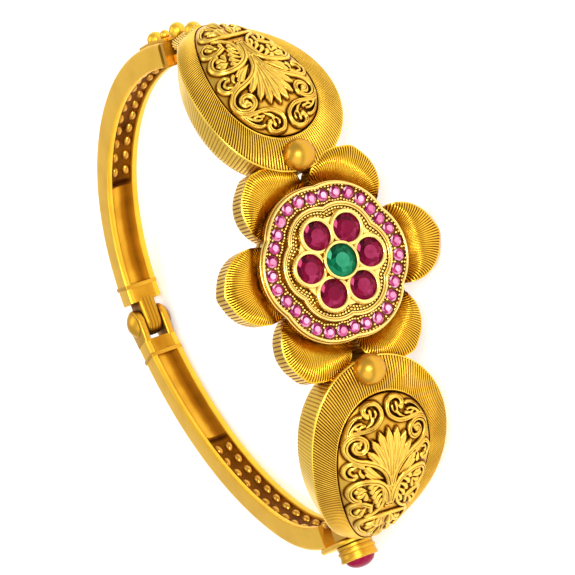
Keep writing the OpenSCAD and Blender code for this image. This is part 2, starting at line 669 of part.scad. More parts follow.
// Block that the screw clamps, with a slot open towards the arm
module bottom_joint() {
    difference() {
        translate([7.8, 31.2, -2.1]) cube([4.35, 4, 4.2]);
        translate([0, 0, -shank_r - 0.12]) linear_extrude(2 * shank_r + 0.24)
            polygon([[5, 30], [9.2, 30], [9.7, 36], [5, 36]]);
        // The face under the lower arm's tongue
        on_screw_axis(-cup_h / 2 - tongue_t - 0.15) translate([-5, -8, 0]) cube([10, 16, 4]);
    }
}

module at_rest() {
    translate([rest_shift[0], rest_shift[1], rest_height])
        rotate([rest_roll, 0, 0]) rotate([0, rest_pitch, 0]) children();
}

at_rest() front_band();
at_rest() upper_leaf();
at_rest() lower_leaf();
at_rest() upper_plaque();
at_rest() lower_plaque();
at_rest() petal_1();
at_rest() petal_2();
at_rest() petal_3();
at_rest() petal_4();
at_rest() petal_5();
at_rest() petal_6();
at_rest() flower_disc();
at_rest() emerald();
at_rest() ruby_1();
at_rest() ruby_2();
at_rest() ruby_3();
at_rest() ruby_4();
at_rest() ruby_5();
at_rest() ruby_6();
at_rest() pink_stones();
at_rest() upper_ball();
at_rest() lower_ball();
at_rest() joint_lug();
at_rest() upper_arm();
at_rest() lower_arm();
at_rest() hinge_pin();
at_rest() clasp_screw();
at_rest() clasp_ruby();
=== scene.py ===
# Openable temple bangle, gold plated and antiqued: a stone-set flower between two ribbed leaves.
# Pieces are worked out in the ring's own axes, in millimetres: X to the front through the flower,
# Y to the fixed joint beside the upper leaf, Z along the wrist.
# Each is then laid down as the solids are, in metres.
import math

import bpy
import numpy as np
from mathutils import Matrix, Vector


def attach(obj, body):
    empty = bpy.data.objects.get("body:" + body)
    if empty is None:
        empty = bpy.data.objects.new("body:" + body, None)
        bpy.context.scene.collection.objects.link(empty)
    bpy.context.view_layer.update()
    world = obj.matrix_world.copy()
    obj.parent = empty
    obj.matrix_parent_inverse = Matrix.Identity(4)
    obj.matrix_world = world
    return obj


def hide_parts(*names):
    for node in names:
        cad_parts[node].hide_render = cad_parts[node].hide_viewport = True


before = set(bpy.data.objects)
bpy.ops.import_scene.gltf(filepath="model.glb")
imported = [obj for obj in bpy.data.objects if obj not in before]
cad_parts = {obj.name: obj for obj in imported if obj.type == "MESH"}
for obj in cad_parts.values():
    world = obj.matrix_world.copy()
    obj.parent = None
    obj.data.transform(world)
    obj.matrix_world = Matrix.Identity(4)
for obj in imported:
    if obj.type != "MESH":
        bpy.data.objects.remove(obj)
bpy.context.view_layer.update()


def turn_by(degrees, axis):
    """A turn about one of the ring's axes."""
    return Matrix.Rotation(math.radians(degrees), 4, axis)


LAY_DOWN = (
    Matrix.Scale(0.001, 4)
    @ Matrix.Translation((0.66, 1.81, 9.51))
    @ turn_by(7, "X")
    @ turn_by(-12.1, "Y")
)
MIRROR_Y = Matrix.Diagonal((1, -1, 1, 1))
MERGE = 0.0008  # points closer than this become one
WIRE_SIDES = 8
CRISP_ANGLE = 35  # degrees between two faces, past which their edge is eased
rng = np.random.default_rng(7)


# Helpers for the work in the viewport


def deselect_all():
    if bpy.context.object and bpy.context.object.mode != "OBJECT":
        bpy.ops.object.mode_set(mode="OBJECT")
    bpy.ops.object.select_all(action="DESELECT")


def active(piece):
    deselect_all()
    piece.select_set(True)
    bpy.context.view_layer.objects.active = piece


def opened(piece):
    """Opens a piece for work on its mesh, with all of it selected."""
    active(piece)
    bpy.ops.object.mode_set(mode="EDIT")
    bpy.ops.mesh.select_all(action="SELECT")


def close_up(piece, fill=True):
    """Merges seams and poles, fills open ends and turns the faces outwards."""
    opened(piece)
    bpy.ops.mesh.remove_doubles(threshold=MERGE)
    bpy.ops.mesh.dissolve_degenerate(threshold=MERGE / 2)
    if fill:
        bpy.ops.mesh.fill_holes(sides=0)
        bpy.ops.mesh.select_all(action="SELECT")
    bpy.ops.mesh.normals_make_consistent(inside=False)
    bpy.ops.object.mode_set(mode="OBJECT")


def formed_sheet(rows, patina_and_shade=None, fill=True):
    """Presses a grid onto rows of points, each row from one seam to the other, and closes it."""
    rows = np.array(rows, float)
    count_r, count_c = rows.shape[:2]
    deselect_all()
    bpy.ops.mesh.primitive_grid_add(x_subdivisions=count_c - 1, y_subdivisions=count_r - 1, size=1)
    piece = bpy.context.object
    piece.data.vertices.foreach_set("co", rows.reshape(-1))
    piece.data.update()
    # The tone attribute holds patina and, in places, painted shade
    if patina_and_shade is not None:
        tone = piece.data.attributes.new("patina_and_shade", "FLOAT", "POINT")
        tone.data.foreach_set("value", np.ascontiguousarray(patina_and_shade, np.float32).reshape(-1))
    close_up(piece, fill)
    return piece


def loop_of(points):
    """An unfilled loop of edges through the points."""
    deselect_all()
    bpy.ops.mesh.primitive_circle_add(vertices=len(points), radius=1, fill_type="NOTHING")
    piece = bpy.context.object
    piece.data.vertices.foreach_set("co", np.array(points, float).reshape(-1))
    return piece


def turned(profile, steps):
    """Spins a closed profile of [radius, height] points round Z."""
    piece = loop_of([(radius, 0, height) for radius, height in profile])
    opened(piece)
    bpy.ops.mesh.spin(steps=steps, angle=2 * math.pi, center=(0, 0, 0), axis=(0, 0, 1))
    close_up(piece, fill=False)
    return piece


def cut_plate(outline, low, high, edge=0.0, steps=2):
    """Saws a flat outline of [x, y] points out of sheet, from Z low to Z high, with eased edges."""
    piece = loop_of([(x, y, low) for x, y in outline])
    opened(piece)
    bpy.ops.mesh.edge_face_add()
    bpy.ops.mesh.extrude_region_move(TRANSFORM_OT_translate={"value": (0, 0, high - low)})
    bpy.ops.mesh.select_all(action="SELECT")
    bpy.ops.mesh.normals_make_consistent(inside=False)
    bpy.ops.object.mode_set(mode="OBJECT")
    if edge:
        ease_edges(piece, edge, steps)
    return piece


def ease_edges(piece, width, steps):
    """Rounds the crisp edges of a piece."""
    active(piece)
    eased = piece.modifiers.new("eased", "BEVEL")
    eased.width = width
    eased.segments = steps
    eased.limit_method = "ANGLE"
    eased.angle_limit = math.radians(CRISP_ANGLE)
    bpy.ops.object.modifier_apply(modifier=eased.name)


def drawn_wire(path, radius):
    """Draws round wire along a closed line of points."""
    path = np.array(path, float)
    ahead = np.roll(path, -1, 0) - np.roll(path, 1, 0)
    ahead /= np.linalg.norm(ahead, axis=1)[:, None]
    side = np.cross(ahead, np.array([1.0, 0, 0]))
    side /= np.linalg.norm(side, axis=1)[:, None]
    lift = np.cross(side, ahead)
    angles = np.linspace(0, 2 * math.pi, WIRE_SIDES + 1)[None, :, None]
    round_it = side[:, None] * np.cos(angles) + lift[:, None] * np.sin(angles)
    rows = path[:, None] + radius * round_it
    return formed_sheet(np.concatenate([rows, rows[:1]], 0), fill=False)


def grain(radius):
    """One soldered granule."""
    deselect_all()
    bpy.ops.mesh.primitive_uv_sphere_add(segments=8, ring_count=6, radius=radius)
    return bpy.context.object


def soldered(pattern, places):
    """Copies of one shape, each with its own mesh, at the places given, joined into one piece."""
    copies = []
    for place in places:
        copy = pattern.copy()
        copy.data = pattern.data.copy()
        bpy.context.collection.objects.link(copy)
        matrix = place if isinstance(place, Matrix) else Matrix.Translation(Vector(place))
        copy.data.transform(matrix)
        copies.append(copy)
    bpy.data.objects.remove(pattern)
    return joined(copies)


def joined(pieces):
    """Makes one piece of several."""
    deselect_all()
    for piece in pieces:
        piece.select_set(True)
    bpy.context.view_layer.objects.active = pieces[0]
    if len(pieces) > 1:
        bpy.ops.object.join()
    return bpy.context.object


def hand_over(piece, name, body, metal, smooth, slot="gold", turn=None, replaces=()):
    """Lays a finished piece down in the row's frame, names it and lets it ride on its body. Faces
    that meet at less than smooth degrees are shaded as one."""
    place = LAY_DOWN @ (turn or Matrix.Identity(4))
    piece.data.transform(place)
    if place.determinant() < 0:
        piece.data.flip_normals()
    piece.name = name
    piece.data.name = name
    active(piece)
    if smooth:
        bpy.ops.object.shade_smooth_by_angle(angle=math.radians(smooth))
    piece.data.materials.clear()
    piece.data.materials.append(metal)
    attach(piece, body)
    if replaces:
        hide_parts(*replaces)
    return piece


# Finishes


def srgb(code):
    """Turns an sRGB hex code to linear."""
    parts = [int(code[i : i + 2], 16) / 255 for i in (1, 3, 5)]
    return [p / 12.92 if p <= 0.04045 else ((p + 0.055) / 1.055) ** 2.4 for p in parts] + [1]


def new_material(name):
    material = bpy.data.materials.new(name)
    material.use_nodes = True
    material.node_tree.nodes.clear()
    return material


def put(material, kind, links=None, **settings):
    """Adds a node, sets its inputs and properties, and links inputs to other nodes' outputs."""
    node = material.node_tree.nodes.new(kind)
    for key, value in settings.items():
        title = key.replace("_", " ")
        if title in node.inputs:
            node.inputs[title].default_value = value
        else:
            setattr(node, key, value)
    for key, source in (links or {}).items():
        material.node_tree.links.new(source, node.inputs[key])
    return node


def colour_ramp(material, source, stops):
    """Colours by a value: stops of [value, colour code]."""
    node = put(material, "ShaderNodeValToRGB", {"Fac": source})
    elements = node.color_ramp.elements
    while len(elements) < len(stops):
        elements.new(0.5)
    for element, (position, code) in zip(elements, stops):
        element.position = position
        element.color = srgb(code)
    return node.outputs["Color"]


def carried(material, source, **ends):
    """Carries a value over to another range."""
    return put(material, "ShaderNodeMapRange", {"Value": source}, **ends).outputs["Result"]


# Blasted grain of 0.16 mm, and worn clouds of a few millimetres
GRAIN_SCALE, CLOUD_SCALE = 6000.0, 260.0
# Tone at which the antiquing has its middle shade
HALF_STAINED = 0.4


def antique_gold(name, clean, shaded, dark, rough, depth=0.4, reach=1.0):
    """Gold plate over brass, matt from a light blasting: raised parts are rubbed bright, and the
    brown antiquing stays in the recesses. The tone attribute holds how deep a point lies, and in
    places painted shade; depth is the tone of a closed corner, and reach is how far in
    millimetres a corner looks for walls. Darkening of closed corners is partly antiquing and
    partly painted shade where parts meet."""
    m = new_material(name)
    place = put(m, "ShaderNodeTexCoord").outputs["Object"]
    fine = put(m, "ShaderNodeTexNoise", {"Vector": place}, Scale=GRAIN_SCALE, Detail=3.0)
    broad = put(m, "ShaderNodeTexNoise", {"Vector": place}, Scale=CLOUD_SCALE, Detail=4.0)
    deep = put(m, "ShaderNodeAttribute", attribute_name="patina_and_shade")
    # Occlusion darkens closed corners: partly the antiquing there, partly painted shade where parts
    # meet
    shut = put(m, "ShaderNodeAmbientOcclusion", samples=8, Distance=reach / 1000)
    closed = carried(m, shut.outputs["AO"], From_Min=0.12, From_Max=0.8, To_Min=depth, To_Max=0.0)
    both = put(m, "ShaderNodeMath", {0: deep.outputs["Fac"], 1: closed}, operation="ADD")
    spread = carried(m, broad.outputs["Fac"], To_Min=0.75, To_Max=1.25)
    worn = carried(m, broad.outputs["Fac"], From_Min=0.35, From_Max=0.75, To_Min=-0.02, To_Max=0.08)
    tone = put(m, "ShaderNodeMath", {0: both.outputs[0], 1: spread, 2: worn},
               operation="MULTIPLY_ADD", use_clamp=True)
    stops = [(0.0, clean), (HALF_STAINED, shaded), (1.0, dark)]
    colour = colour_ramp(m, tone.outputs[0], stops)
    dull = carried(m, tone.outputs[0], To_Min=rough, To_Max=min(0.85, rough + 0.3))
    bump = put(m, "ShaderNodeBump", {"Height": fine.outputs["Fac"]},
               Strength=0.12, Distance=0.00004)
    shader = put(m, "ShaderNodeBsdfPrincipled",
                 {"Base Color": colour, "Roughness": dull, "Normal": bump.outputs["Normal"]},
                 Metallic=1.0)
    put(m, "ShaderNodeOutputMaterial", {"Surface": shader.outputs["BSDF"]})
    return m


def cut_glass(name, deep, body, lit, shine=0.08):
    """Foiled glass paste: dark and saturated in its depth, with a table painted lighter. The facet
    attribute holds painted light: how much of the foil's light a facet is painted as sending
    back. Shine is held low, because
    the foil's own colour and not the white studio shows in the stones."""
    m = new_material(name)
    place = put(m, "ShaderNodeTexCoord").outputs["Object"]
    cloud = put(m, "ShaderNodeTexNoise", {"Vector": place}, Scale=900.0, Detail=2.0)
    sent = put(m, "ShaderNodeAttribute", attribute_name="facet")
    flaw = carried(m, cloud.outputs["Fac"], To_Min=-0.12, To_Max=0.12)
    light = put(m, "ShaderNodeMath", {0: sent.outputs["Fac"], 1: flaw},
                operation="ADD", use_clamp=True)
    colour = colour_ramp(m, light.outputs[0], [(0.0, deep), (0.45, body), (1.0, lit)])
    shader = put(m, "ShaderNodeBsdfPrincipled", {"Base Color": colour},
                 Roughness=0.07, IOR=1.54, Specular_IOR_Level=shine)
    put(m, "ShaderNodeOutputMaterial", {"Surface": shader.outputs["BSDF"]})
    return m


# Plain plate on the tongue and the lug: soft, even and yellow
matt_gold = antique_gold("matt_gold_plate", "#F8C440", "#BE7E10", "#4A2404", rough=0.4, depth=0.5)
# Ribbed sheet of the petals: bright crests with a silky sheen, amber between them
petal_gold = antique_gold(
    "bright_ribbed_gold", "#F2C83C", "#BA740C", "#452003", rough=0.28, depth=0.22
)
# Ribbed sheet of the leaves: paler, with brown lines between the ribs
leaf_gold = antique_gold(
    "antiqued_ribbed_gold", "#FFD650", "#C68A1E", "#52290C", rough=0.3, depth=0.25
)
# Cast scrollwork: rubbed crests over a ground that is stained nearly black in its corners
relief_gold = antique_gold(
    "antiqued_cast_gold", "#F8CE58", "#B07418", "#361A06", rough=0.3, depth=0.7, reach=0.8
)
# Folded channels of the arms: satin outside, oxidised brown on the floor inside
channel_gold = antique_gold(
    "oxidised_gold_channel", "#FFCB3E", "#B06E10", "#4E2404", rough=0.42, depth=0.2
)
# Bosses on that floor: dull gold with a dark foot
boss_gold = antique_gold(
    "oxidised_gold_bosses", "#DCA440", "#9A5E10", "#4A2204", rough=0.3, depth=1.0
)
# Hinge, screw and strap: handled and worn, with painted shade where parts meet
hinge_gold = antique_gold(
    "worn_and_shaded_hinge_gold", "#DEA834", "#A26C10", "#3A1A04", rough=0.38, depth=0.8, reach=1.6
)
# Grains, wires and collets: pale polished tops with dark seams
bead_gold = antique_gold(
    "pale_gold_grains", "#FADE80", "#C48C24", "#482208", rough=0.26, depth=0.8, reach=0.5
)
# Balls beside the flower: satin, one broad highlight, and a brown foot of painted shade where they
# sit
ball_gold = antique_gold(
    "satin_gold_ball", "#D4A036", "#94600E", "#452206", rough=0.34, depth=0.8, reach=2.5
)
# Floor under the small stones: nearly all stained
floor_gold = antique_gold("dark_antiqued_floor", "#C88C30", "#8A5416", "#401C08", rough=0.5)
# Glass pastes: deep crimson, its brighter cabochon, bottle green, and rose with tables painted pale
ruby_glass = cut_glass("ruby_paste", "#26000A", "#78062E", "#CC4E7E")
cabochon_glass = cut_glass("ruby_cabochon_paste", "#8C0034", "#A2003E", "#C8407A", shine=0.15)
emerald_glass = cut_glass("emerald_paste", "#012818", "#036C44", "#4CB48C")
pink_glass = cut_glass("pink_paste", "#6A0A3C", "#C44884", "#F8C4DE")

# Leaves

LEAF_TURN, LEAF_BEND, LEAF_SHIFT, LEAF_EGG = 38, 31.2, 1, 0.18
LEAF_L, LEAF_W = 14.3, 9.6
PLAQUE_L, PLAQUE_W, PLAQUE_EGG, PLAQUE_SHIFT = 11.6, 6.4, 0.35, -0.9
BAND_RISE, POCKET, DOME = 0.8, 0.6, 1.7
WALL_NARROW, WALL_BROAD = 2.9, 4.6
# The slope's ribs are drawn a little coarser than the real ones of 0.25 mm, to stay visible
SLOPE_PITCH, WALL_PITCH = 0.4, 0.54
LEAF_POINTS = 1301
# Hand-set leaves: [centre x, centre y, radius of the crisp edge, offset along Z, roll in degrees]
UPPER_SET = [-0.5, 7.1, 29.3, 0, 4.4]
LOWER_SET = [-1.1, 7.1, 30.9, 0.3, -2.2]
# Side wall of a leaf, upwards: [part of the outline, part of the wall's depth]
LEAF_WALL = [[0.975, 0.97], [0.985, 0.8], [0.99, 0.6], [0.995, 0.4], [0.998, 0.2], [1.0, 0.08]]
# Crisp edge: [part of the way from the leaf's outline to the plaque's, height]
LEAF_EDGE = [[-0.01, -0.06], [0.0, 0.01], [0.028, 0.07]]
# Ribbed slope: parts of that way
LEAF_SLOPE = [0.04, 0.12, 0.25, 0.4, 0.55, 0.7, 0.82, 0.92, 0.95]
# Thin rim round the pocket: [part of that way, height over the slope, tone]
LEAF_RIM = [[0.965, 0.0, 0.0], [0.975, 0.06, 0.0], [0.99, 0.04, 0.0], [0.998, -0.03, 0.6]]


def wrap(leaf, s, z, h):
    """Flattened leaf to ring: s along towards the broad end, z across, h above the crisp edge."""
    a = math.radians(LEAF_TURN) - s / LEAF_BEND
    r = leaf[2] + h + z * math.tan(math.radians(leaf[4]))
    return np.stack([leaf[0] + r * np.cos(a), leaf[1] + r * np.sin(a), z + leaf[3]], -1)


def leaf_outline(t):
    return LEAF_L * np.cos(t) + LEAF_SHIFT, LEAF_W * np.sin(t) * (1 + LEAF_EGG * np.cos(t))


def plaque_outline(t):
    return PLAQUE_L * np.cos(t) + PLAQUE_SHIFT, PLAQUE_W * np.sin(t) * (1 + PLAQUE_EGG * np.cos(t))


def dome(s, z):
    """Height of a plaque's plain dome."""
    u = (s - PLAQUE_SHIFT) / PLAQUE_L
    v = z / PLAQUE_W / (1 + PLAQUE_EGG * u)
    return DOME * np.clip(1 - (u * u + v * v) ** 1.3, 0, None)


def ribs(turns, count, phase=0.0):
    """1 on a rib's crest and 0 in the groove beside it, for count ribs round an outline."""
    return 0.5 + 0.5 * np.cos(2 * math.pi * (count * turns + phase))


def leaf_shell(leaf, painted_slope_shade):
    """Side wall with upright ribs, crisp edge, ribbed slope, thin rim and the pocket of the plaque.
    The lower leaf's slope carries a little painted shade, the upper one's none."""
    t = np.linspace(0, 2 * math.pi, LEAF_POINTS)
    ls, lz = leaf_outline(t)
    ps, pz = plaque_outline(t)
    run = np.concatenate([[0], np.cumsum(np.hypot(np.diff(ls), np.diff(lz)))])
    slope = ribs(run / run[-1], round(run[-1] / SLOPE_PITCH))
    wall = ribs(run / run[-1], round(run[-1] / WALL_PITCH))
    # Ribs fade towards the narrow end, and the wall drops a millimetre at its very tip
    slope_near = np.clip((ls + 12) / 11, 0.14, 1) ** 0.8
    wall_near = np.clip((ls + 7) / 12, 0.1, 1)
    broad = (ls - LEAF_SHIFT + LEAF_L) / (2 * LEAF_L)
    tip = np.clip((-ls - 9.5) / 3.8, 0, 1)
    depth = WALL_NARROW + (WALL_BROAD - WALL_NARROW) * broad - tip
    rows, tones = [], []

    def add(s, z, h, tone=0.0):
        rows.append(wrap(leaf, s, z, h))
        tones.append(np.broadcast_to(tone, s.shape))

    def scaled(k):
        return LEAF_SHIFT + k * (ls - LEAF_SHIFT), k * lz

    def between(k):
        return ls + (ps - ls) * k, lz + (pz - lz) * k

    for k in (0.0, 0.5, 0.955):
        add(*scaled(k), -depth, tone=0.3)
    groove = (1 - wall) ** 4 * wall_near
    for k, v in LEAF_WALL:
        stained = 0.58 * groove * (0.6 if v < 0.1 else 1)
        add(*scaled(k - 0.0067 * groove), -depth * v, tone=stained)
    for k, h in LEAF_EDGE:
        add(*between(k), h)
    cut = (1 - slope) ** 1.7 * slope_near
    # Slope tone: painted shade over the whole slope, plus patina in the grooves between ribs
    for k in LEAF_SLOPE:
        rise = BAND_RISE * (1 - (1 - k) ** 2.2)
        add(*between(k), rise - 0.11 * cut, tone=painted_slope_shade + 1.05 * cut)
    for k, h, tone in LEAF_RIM:
        add(*between(k), BAND_RISE + h, tone=tone)
    add(*between(1.0), BAND_RISE - POCKET * 0.9, tone=1)
    for k in (0.96, 0.6, 0.2, 0.0):
        floor_s = PLAQUE_SHIFT + k * (ps - PLAQUE_SHIFT)
        add(floor_s, k * pz, BAND_RISE - POCKET, tone=0.9)
    return formed_sheet(rows, tones)


# Scrollwork of a plaque, upper half, in (s, z). It is a common palmette between grooved volutes,
# repeated below the axis. Scrolls: [width at start, width at end, grooves, height, points]
SCROLLS = [
    [0.75, 0.62, 3, 0.5,
     [(-1.0, 0.2), (0.4, 0.55), (1.5, 1.25), (2.3, 2.2), (2.8, 3.3), (3.15, 4.4), (3.8, 5.35),
      (4.8, 5.8), (5.75, 5.55), (6.25, 4.75), (6.15, 3.85), (5.55, 3.2), (4.75, 3.2), (4.25, 3.8),
      (4.4, 4.5), (4.95, 4.75), (5.45, 4.45), (5.45, 3.95)]],
    [0.5, 0.62, 3, 0.54,
     [(5.6, 6.05), (6.35, 5.65), (6.75, 4.85), (6.8, 3.8), (6.8, 2.8), (6.95, 1.9), (7.4, 1.1),
      (8.0, 0.55), (8.85, 0.47), (9.6, 0.9), (9.85, 1.8), (9.6, 2.5), (8.95, 2.75), (8.4, 2.45)]],
    [0.55, 0.4, 2, 0.46,
     [(2.35, 3.9), (2.75, 4.6), (2.95, 5.4), (2.5, 6.0), (1.7, 6.15), (0.98, 5.75), (0.8, 5.05),
      (1.2, 4.65)]],
    [0.4, 0.3, 1, 0.42, [(1.35, 5.05), (1.75, 5.5), (2.3, 5.35), (2.45, 4.8)]],
    [0.8, 0.66, 3, 0.52,
     [(-3.6, 0.25), (-2.2, 0.45), (-1.1, 0.95), (-0.35, 1.75), (0.05, 2.8), (0.12, 3.9),
      (-0.2, 4.85), (-0.95, 5.4), (-1.85, 5.35), (-2.55, 4.85), (-2.8, 4.2)]],
    [0.7, 0.5, 3, 0.48,
     [(-3.75, 2.7), (-3.35, 3.5), (-3.35, 4.35), (-3.9, 4.95), (-4.75, 5.0), (-5.45, 4.6),
      (-5.75, 3.95)]],
    [0.5, 0.4, 2, 0.46,
     [(-1.3, 1.15), (-2.3, 0.95), (-3.4, 0.95), (-4.35, 1.35), (-5.1, 2.0), (-5.75, 2.85)]],
    [0.55, 0.5, 2, 0.48,
     [(-5.75, 0.0), (-5.8, 0.9), (-5.95, 1.8), (-6.3, 2.7), (-7.0, 3.35), (-7.9, 3.35),
      (-8.8, 2.85), (-9.4, 2.15)]],
    [0.42, 0.36, 1, 0.44, [(6.6, 5.55), (7.5, 5.1), (8.2, 4.5), (8.6, 3.8), (8.6, 3.25)]],
    [0.36, 0.3, 0, 0.4, [(7.0, 4.9), (7.5, 4.4), (7.8, 3.8), (7.8, 3.3)]],
]
# Leaflets: [greatest width, height, veins, points from root to tip]
FRONDS = [
    [1.12, 0.54, 2, [(-4.5, 0.0), (0.5, 0.0), (3.5, 0.0), (6.5, 0.0)]],
    [1.08, 0.52, 2, [(-3.4, 0.05), (1.0, 0.3), (4.0, 0.8), (6.2, 1.25)]],
    [1.04, 0.5, 2, [(-3.2, 0.1), (0.9, 0.52), (3.5, 1.4), (5.4, 2.35)]],
    [0.98, 0.5, 2, [(-3.0, 0.1), (0.6, 0.66), (2.7, 1.85), (4.15, 3.05)]],
    [1.05, 0.42, 2, [(0.1, 1.2), (0.7, 2.0), (1.4, 2.8), (2.2, 3.55)]],
    [0.7, 0.36, 1, [(0.1, 1.6), (0.4, 2.4), (0.9, 3.0), (1.3, 3.5)]],
    [0.6, 0.4, 1, [(2.0, 4.1), (1.6, 4.2), (1.3, 4.1), (0.9, 3.8)]],
    [0.72, 0.42, 0, [(-0.4, 1.7), (-0.35, 2.2), (-0.5, 2.7), (-0.95, 2.95)]],
    [0.72, 0.42, 0, [(-0.7, 1.35), (-0.85, 1.95), (-1.25, 2.5), (-1.75, 2.7)]],
    [0.72, 0.42, 0, [(-1.3, 1.1), (-1.6, 1.7), (-2.0, 2.2), (-2.6, 2.4)]],
    [0.7, 0.42, 0, [(-1.9, 1.0), (-2.4, 1.5), (-2.8, 1.9), (-3.4, 2.05)]],
    [0.66, 0.42, 0, [(-2.6, 1.0), (-3.1, 1.3), (-3.6, 1.6), (-4.15, 1.7)]],
    [0.62, 0.4, 0, [(-3.4, 2.2), (-3.9, 2.4), (-4.3, 2.5), (-4.9, 2.45)]],
    [0.8, 0.42, 0, [(-1.2, 3.3), (-1.2, 3.8), (-1.3, 4.2), (-1.3, 4.8)]],
    [0.72, 0.42, 0, [(-1.0, 3.5), (-0.8, 3.9), (-0.7, 4.2), (-0.7, 4.5)]],
    [0.72, 0.42, 0, [(-1.5, 3.4), (-1.8, 3.7), (-2.0, 4.0), (-2.1, 4.4)]],
    [0.7, 0.4, 0, [(-1.6, 3.3), (-1.9, 3.3), (-2.3, 3.3), (-2.6, 3.4)]],
    [0.62, 0.42, 0, [(-4.2, 3.0), (-4.6, 3.3), (-5.0, 3.5), (-5.5, 3.6)]],
    [0.55, 0.42, 0, [(-4.4, 3.4), (-4.5, 3.8), (-4.8, 4.1), (-5.1, 4.2)]],
    [1.25, 0.42, 1, [(-6.3, 0.6), (-6.8, 0.8), (-7.3, 0.9), (-7.9, 0.9)]],
    [0.6, 0.4, 0, [(-6.7, 1.4), (-7.1, 1.6), (-7.4, 1.9), (-7.6, 2.4)]],
    [0.55, 0.4, 0, [(-7.0, 1.3), (-7.5, 1.5), (-8.0, 1.8), (-8.3, 2.4)]],
    [0.9, 0.38, 1, [(-8.2, 0.8), (-8.8, 1.0), (-9.4, 1.3), (-10.2, 1.2)]],
    [0.7, 0.38, 1, [(-8.6, 0.2), (-9.4, 0.2), (-10.2, 0.3), (-11.3, 0.2)]],
    [0.5, 0.4, 0, [(7.1, 2.9), (7.3, 2.4), (7.6, 2.0), (8.2, 1.6)]],
    [0.5, 0.4, 0, [(7.6, 1.9), (8.2, 1.9), (8.7, 1.9), (9.2, 1.9)]],
    [0.42, 0.4, 0, [(7.8, 1.6), (8.2, 1.3), (8.5, 1.2), (9.0, 1.25)]],
    [0.5, 0.38, 0, [(6.95, 3.9), (7.2, 3.7), (7.4, 3.3), (7.5, 2.8)]],
    [0.5, 0.38, 0, [(7.1, 4.6), (7.3, 4.3), (7.3, 4.0), (7.2, 3.6)]],
]
# Buds: [s, z, radius, height]
BUDS = [
    [5.05, 4.2, 0.4, 0.5],
    [8.55, 2.35, 0.3, 0.5],
    [1.3, 4.75, 0.3, 0.44],
    [-2.75, 4.15, 0.42, 0.5],
    [-5.6, 3.7, 0.34, 0.46],
    [-4.45, 0.3, 0.22, 0.3],
    [8.6, 3.25, 0.27, 0.44],
]
# Grooves of a scroll and of a leaflet: [place across, from 0 on the middle to 1 at the side, depth]
SCROLL_GROOVES = {
    0: [],
    1: [[0.0, 0.2]],
    2: [[0.0, 0.17], [0.62, 0.08]],
    3: [[0.0, 0.22], [0.64, 0.12]],
}
FROND_GROOVES = {0: [], 1: [[0.0, 0.13]], 2: [[0.42, 0.13]]}
GROOVE_WIDTH = 0.14
RELIEF_COLUMNS, RELIEF_ROWS = 400, 225


def flowing(points, count):
    """A smooth line through the points."""
    p = np.array(points, float)
    p = np.vstack([2 * p[0] - p[1], p, 2 * p[-1] - p[-2]])
    t = np.linspace(0, len(p) - 3 - 1e-9, count)
    i = t.astype(int)
    f = (t - i)[:, None]
    a, b, c, d = p[i], p[i + 1], p[i + 2], p[i + 3]
    square = (2 * a - 5 * b + 4 * c - d) * f**2
    cube = (3 * b - a - 3 * c + d) * f**3
    return 0.5 * (2 * b + (c - a) * f + square + cube)


def raise_along(ground, s, z, line, half, profile):
    """Raises the ground along a line: half is the half width at each of its points."""
    reach = half.max() + 0.05
    low, high = line.min(0) - reach, line.max(0) + reach
    near = np.nonzero((s > low[0]) & (s < high[0]) & (z > low[1]) & (z < high[1]))
    if not len(near[0]):
        return
    q = np.stack([s[near], z[near]], -1)
    best = np.full(len(q), 1e9)
    along = np.zeros(len(q))
    for i in range(len(line) - 1):
        d = line[i + 1] - line[i]
        f = np.clip(((q - line[i]) @ d) / (d @ d), 0, 1)
        far = np.hypot(*(q - line[i] - f[:, None] * d).T)
        x = far / np.maximum(half[i] + (half[i + 1] - half[i]) * f, 0.01)
        closer = x < best
        best[closer] = x[closer]
        along[closer] = (i + f[closer]) / (len(line) - 1)
    height = np.where(best < 1, profile(np.minimum(best, 1), along), 0)
    ground[near] = np.maximum(ground[near], height)


def grooved(x, grooves):
    """Depth of the grooves at a place across."""
    return sum(deep * np.exp(-(((x - at) / GROOVE_WIDTH) ** 2)) for at, deep in grooves)


def plaque_relief(s, z):
    """Height of the scrollwork over the plaque's dome."""
    ground = np.zeros_like(s)
    for side in (1, -1):
        for start, end, grooves, height, points in SCROLLS:
            line = flowing(points, 5 * len(points)) * (1, side)
            half = np.linspace(start, end, len(line)) * 0.54

            def band(x, t):
                return height * (1 - x**6) ** 0.5 - grooved(x, SCROLL_GROOVES[grooves])

            raise_along(ground, s, z, line, half, band)
        for width, height, veins, points in FRONDS:
            line = flowing(points, 16) * (1, side)
            t = np.linspace(0, 1, len(line))
            swell = 0.25 + 0.75 * np.sin(np.clip(t * 1.15, 0, 1) * math.pi / 2) ** 1.3
            half = width / 2 * swell * (1 - 6 * np.clip(t - 0.88, 0, 1))

            def frond(x, t):
                body = height * (0.45 + 0.55 * np.clip(t * 1.4, 0, 1)) * (1 - x**3.2) ** 0.55
                return body - grooved(x, FROND_GROOVES[veins]) * np.clip((1 - t) * 6, 0, 1)

            raise_along(ground, s, z, line, half, frond)
        for bs, bz, radius, height in BUDS:
            x = np.hypot(s - bs, z - side * bz) / radius
            ground = np.maximum(ground, height * np.sqrt(np.clip(1 - x**2, 0, 1)))
    return ground


def softened(field, times):
    """Averages each height with its four neighbours."""
    for _ in range(times):
        rolled = [np.roll(field, step, axis) for axis in (0, 1) for step in (1, -1)]
        field = (field + sum(rolled)) / 5
    return field


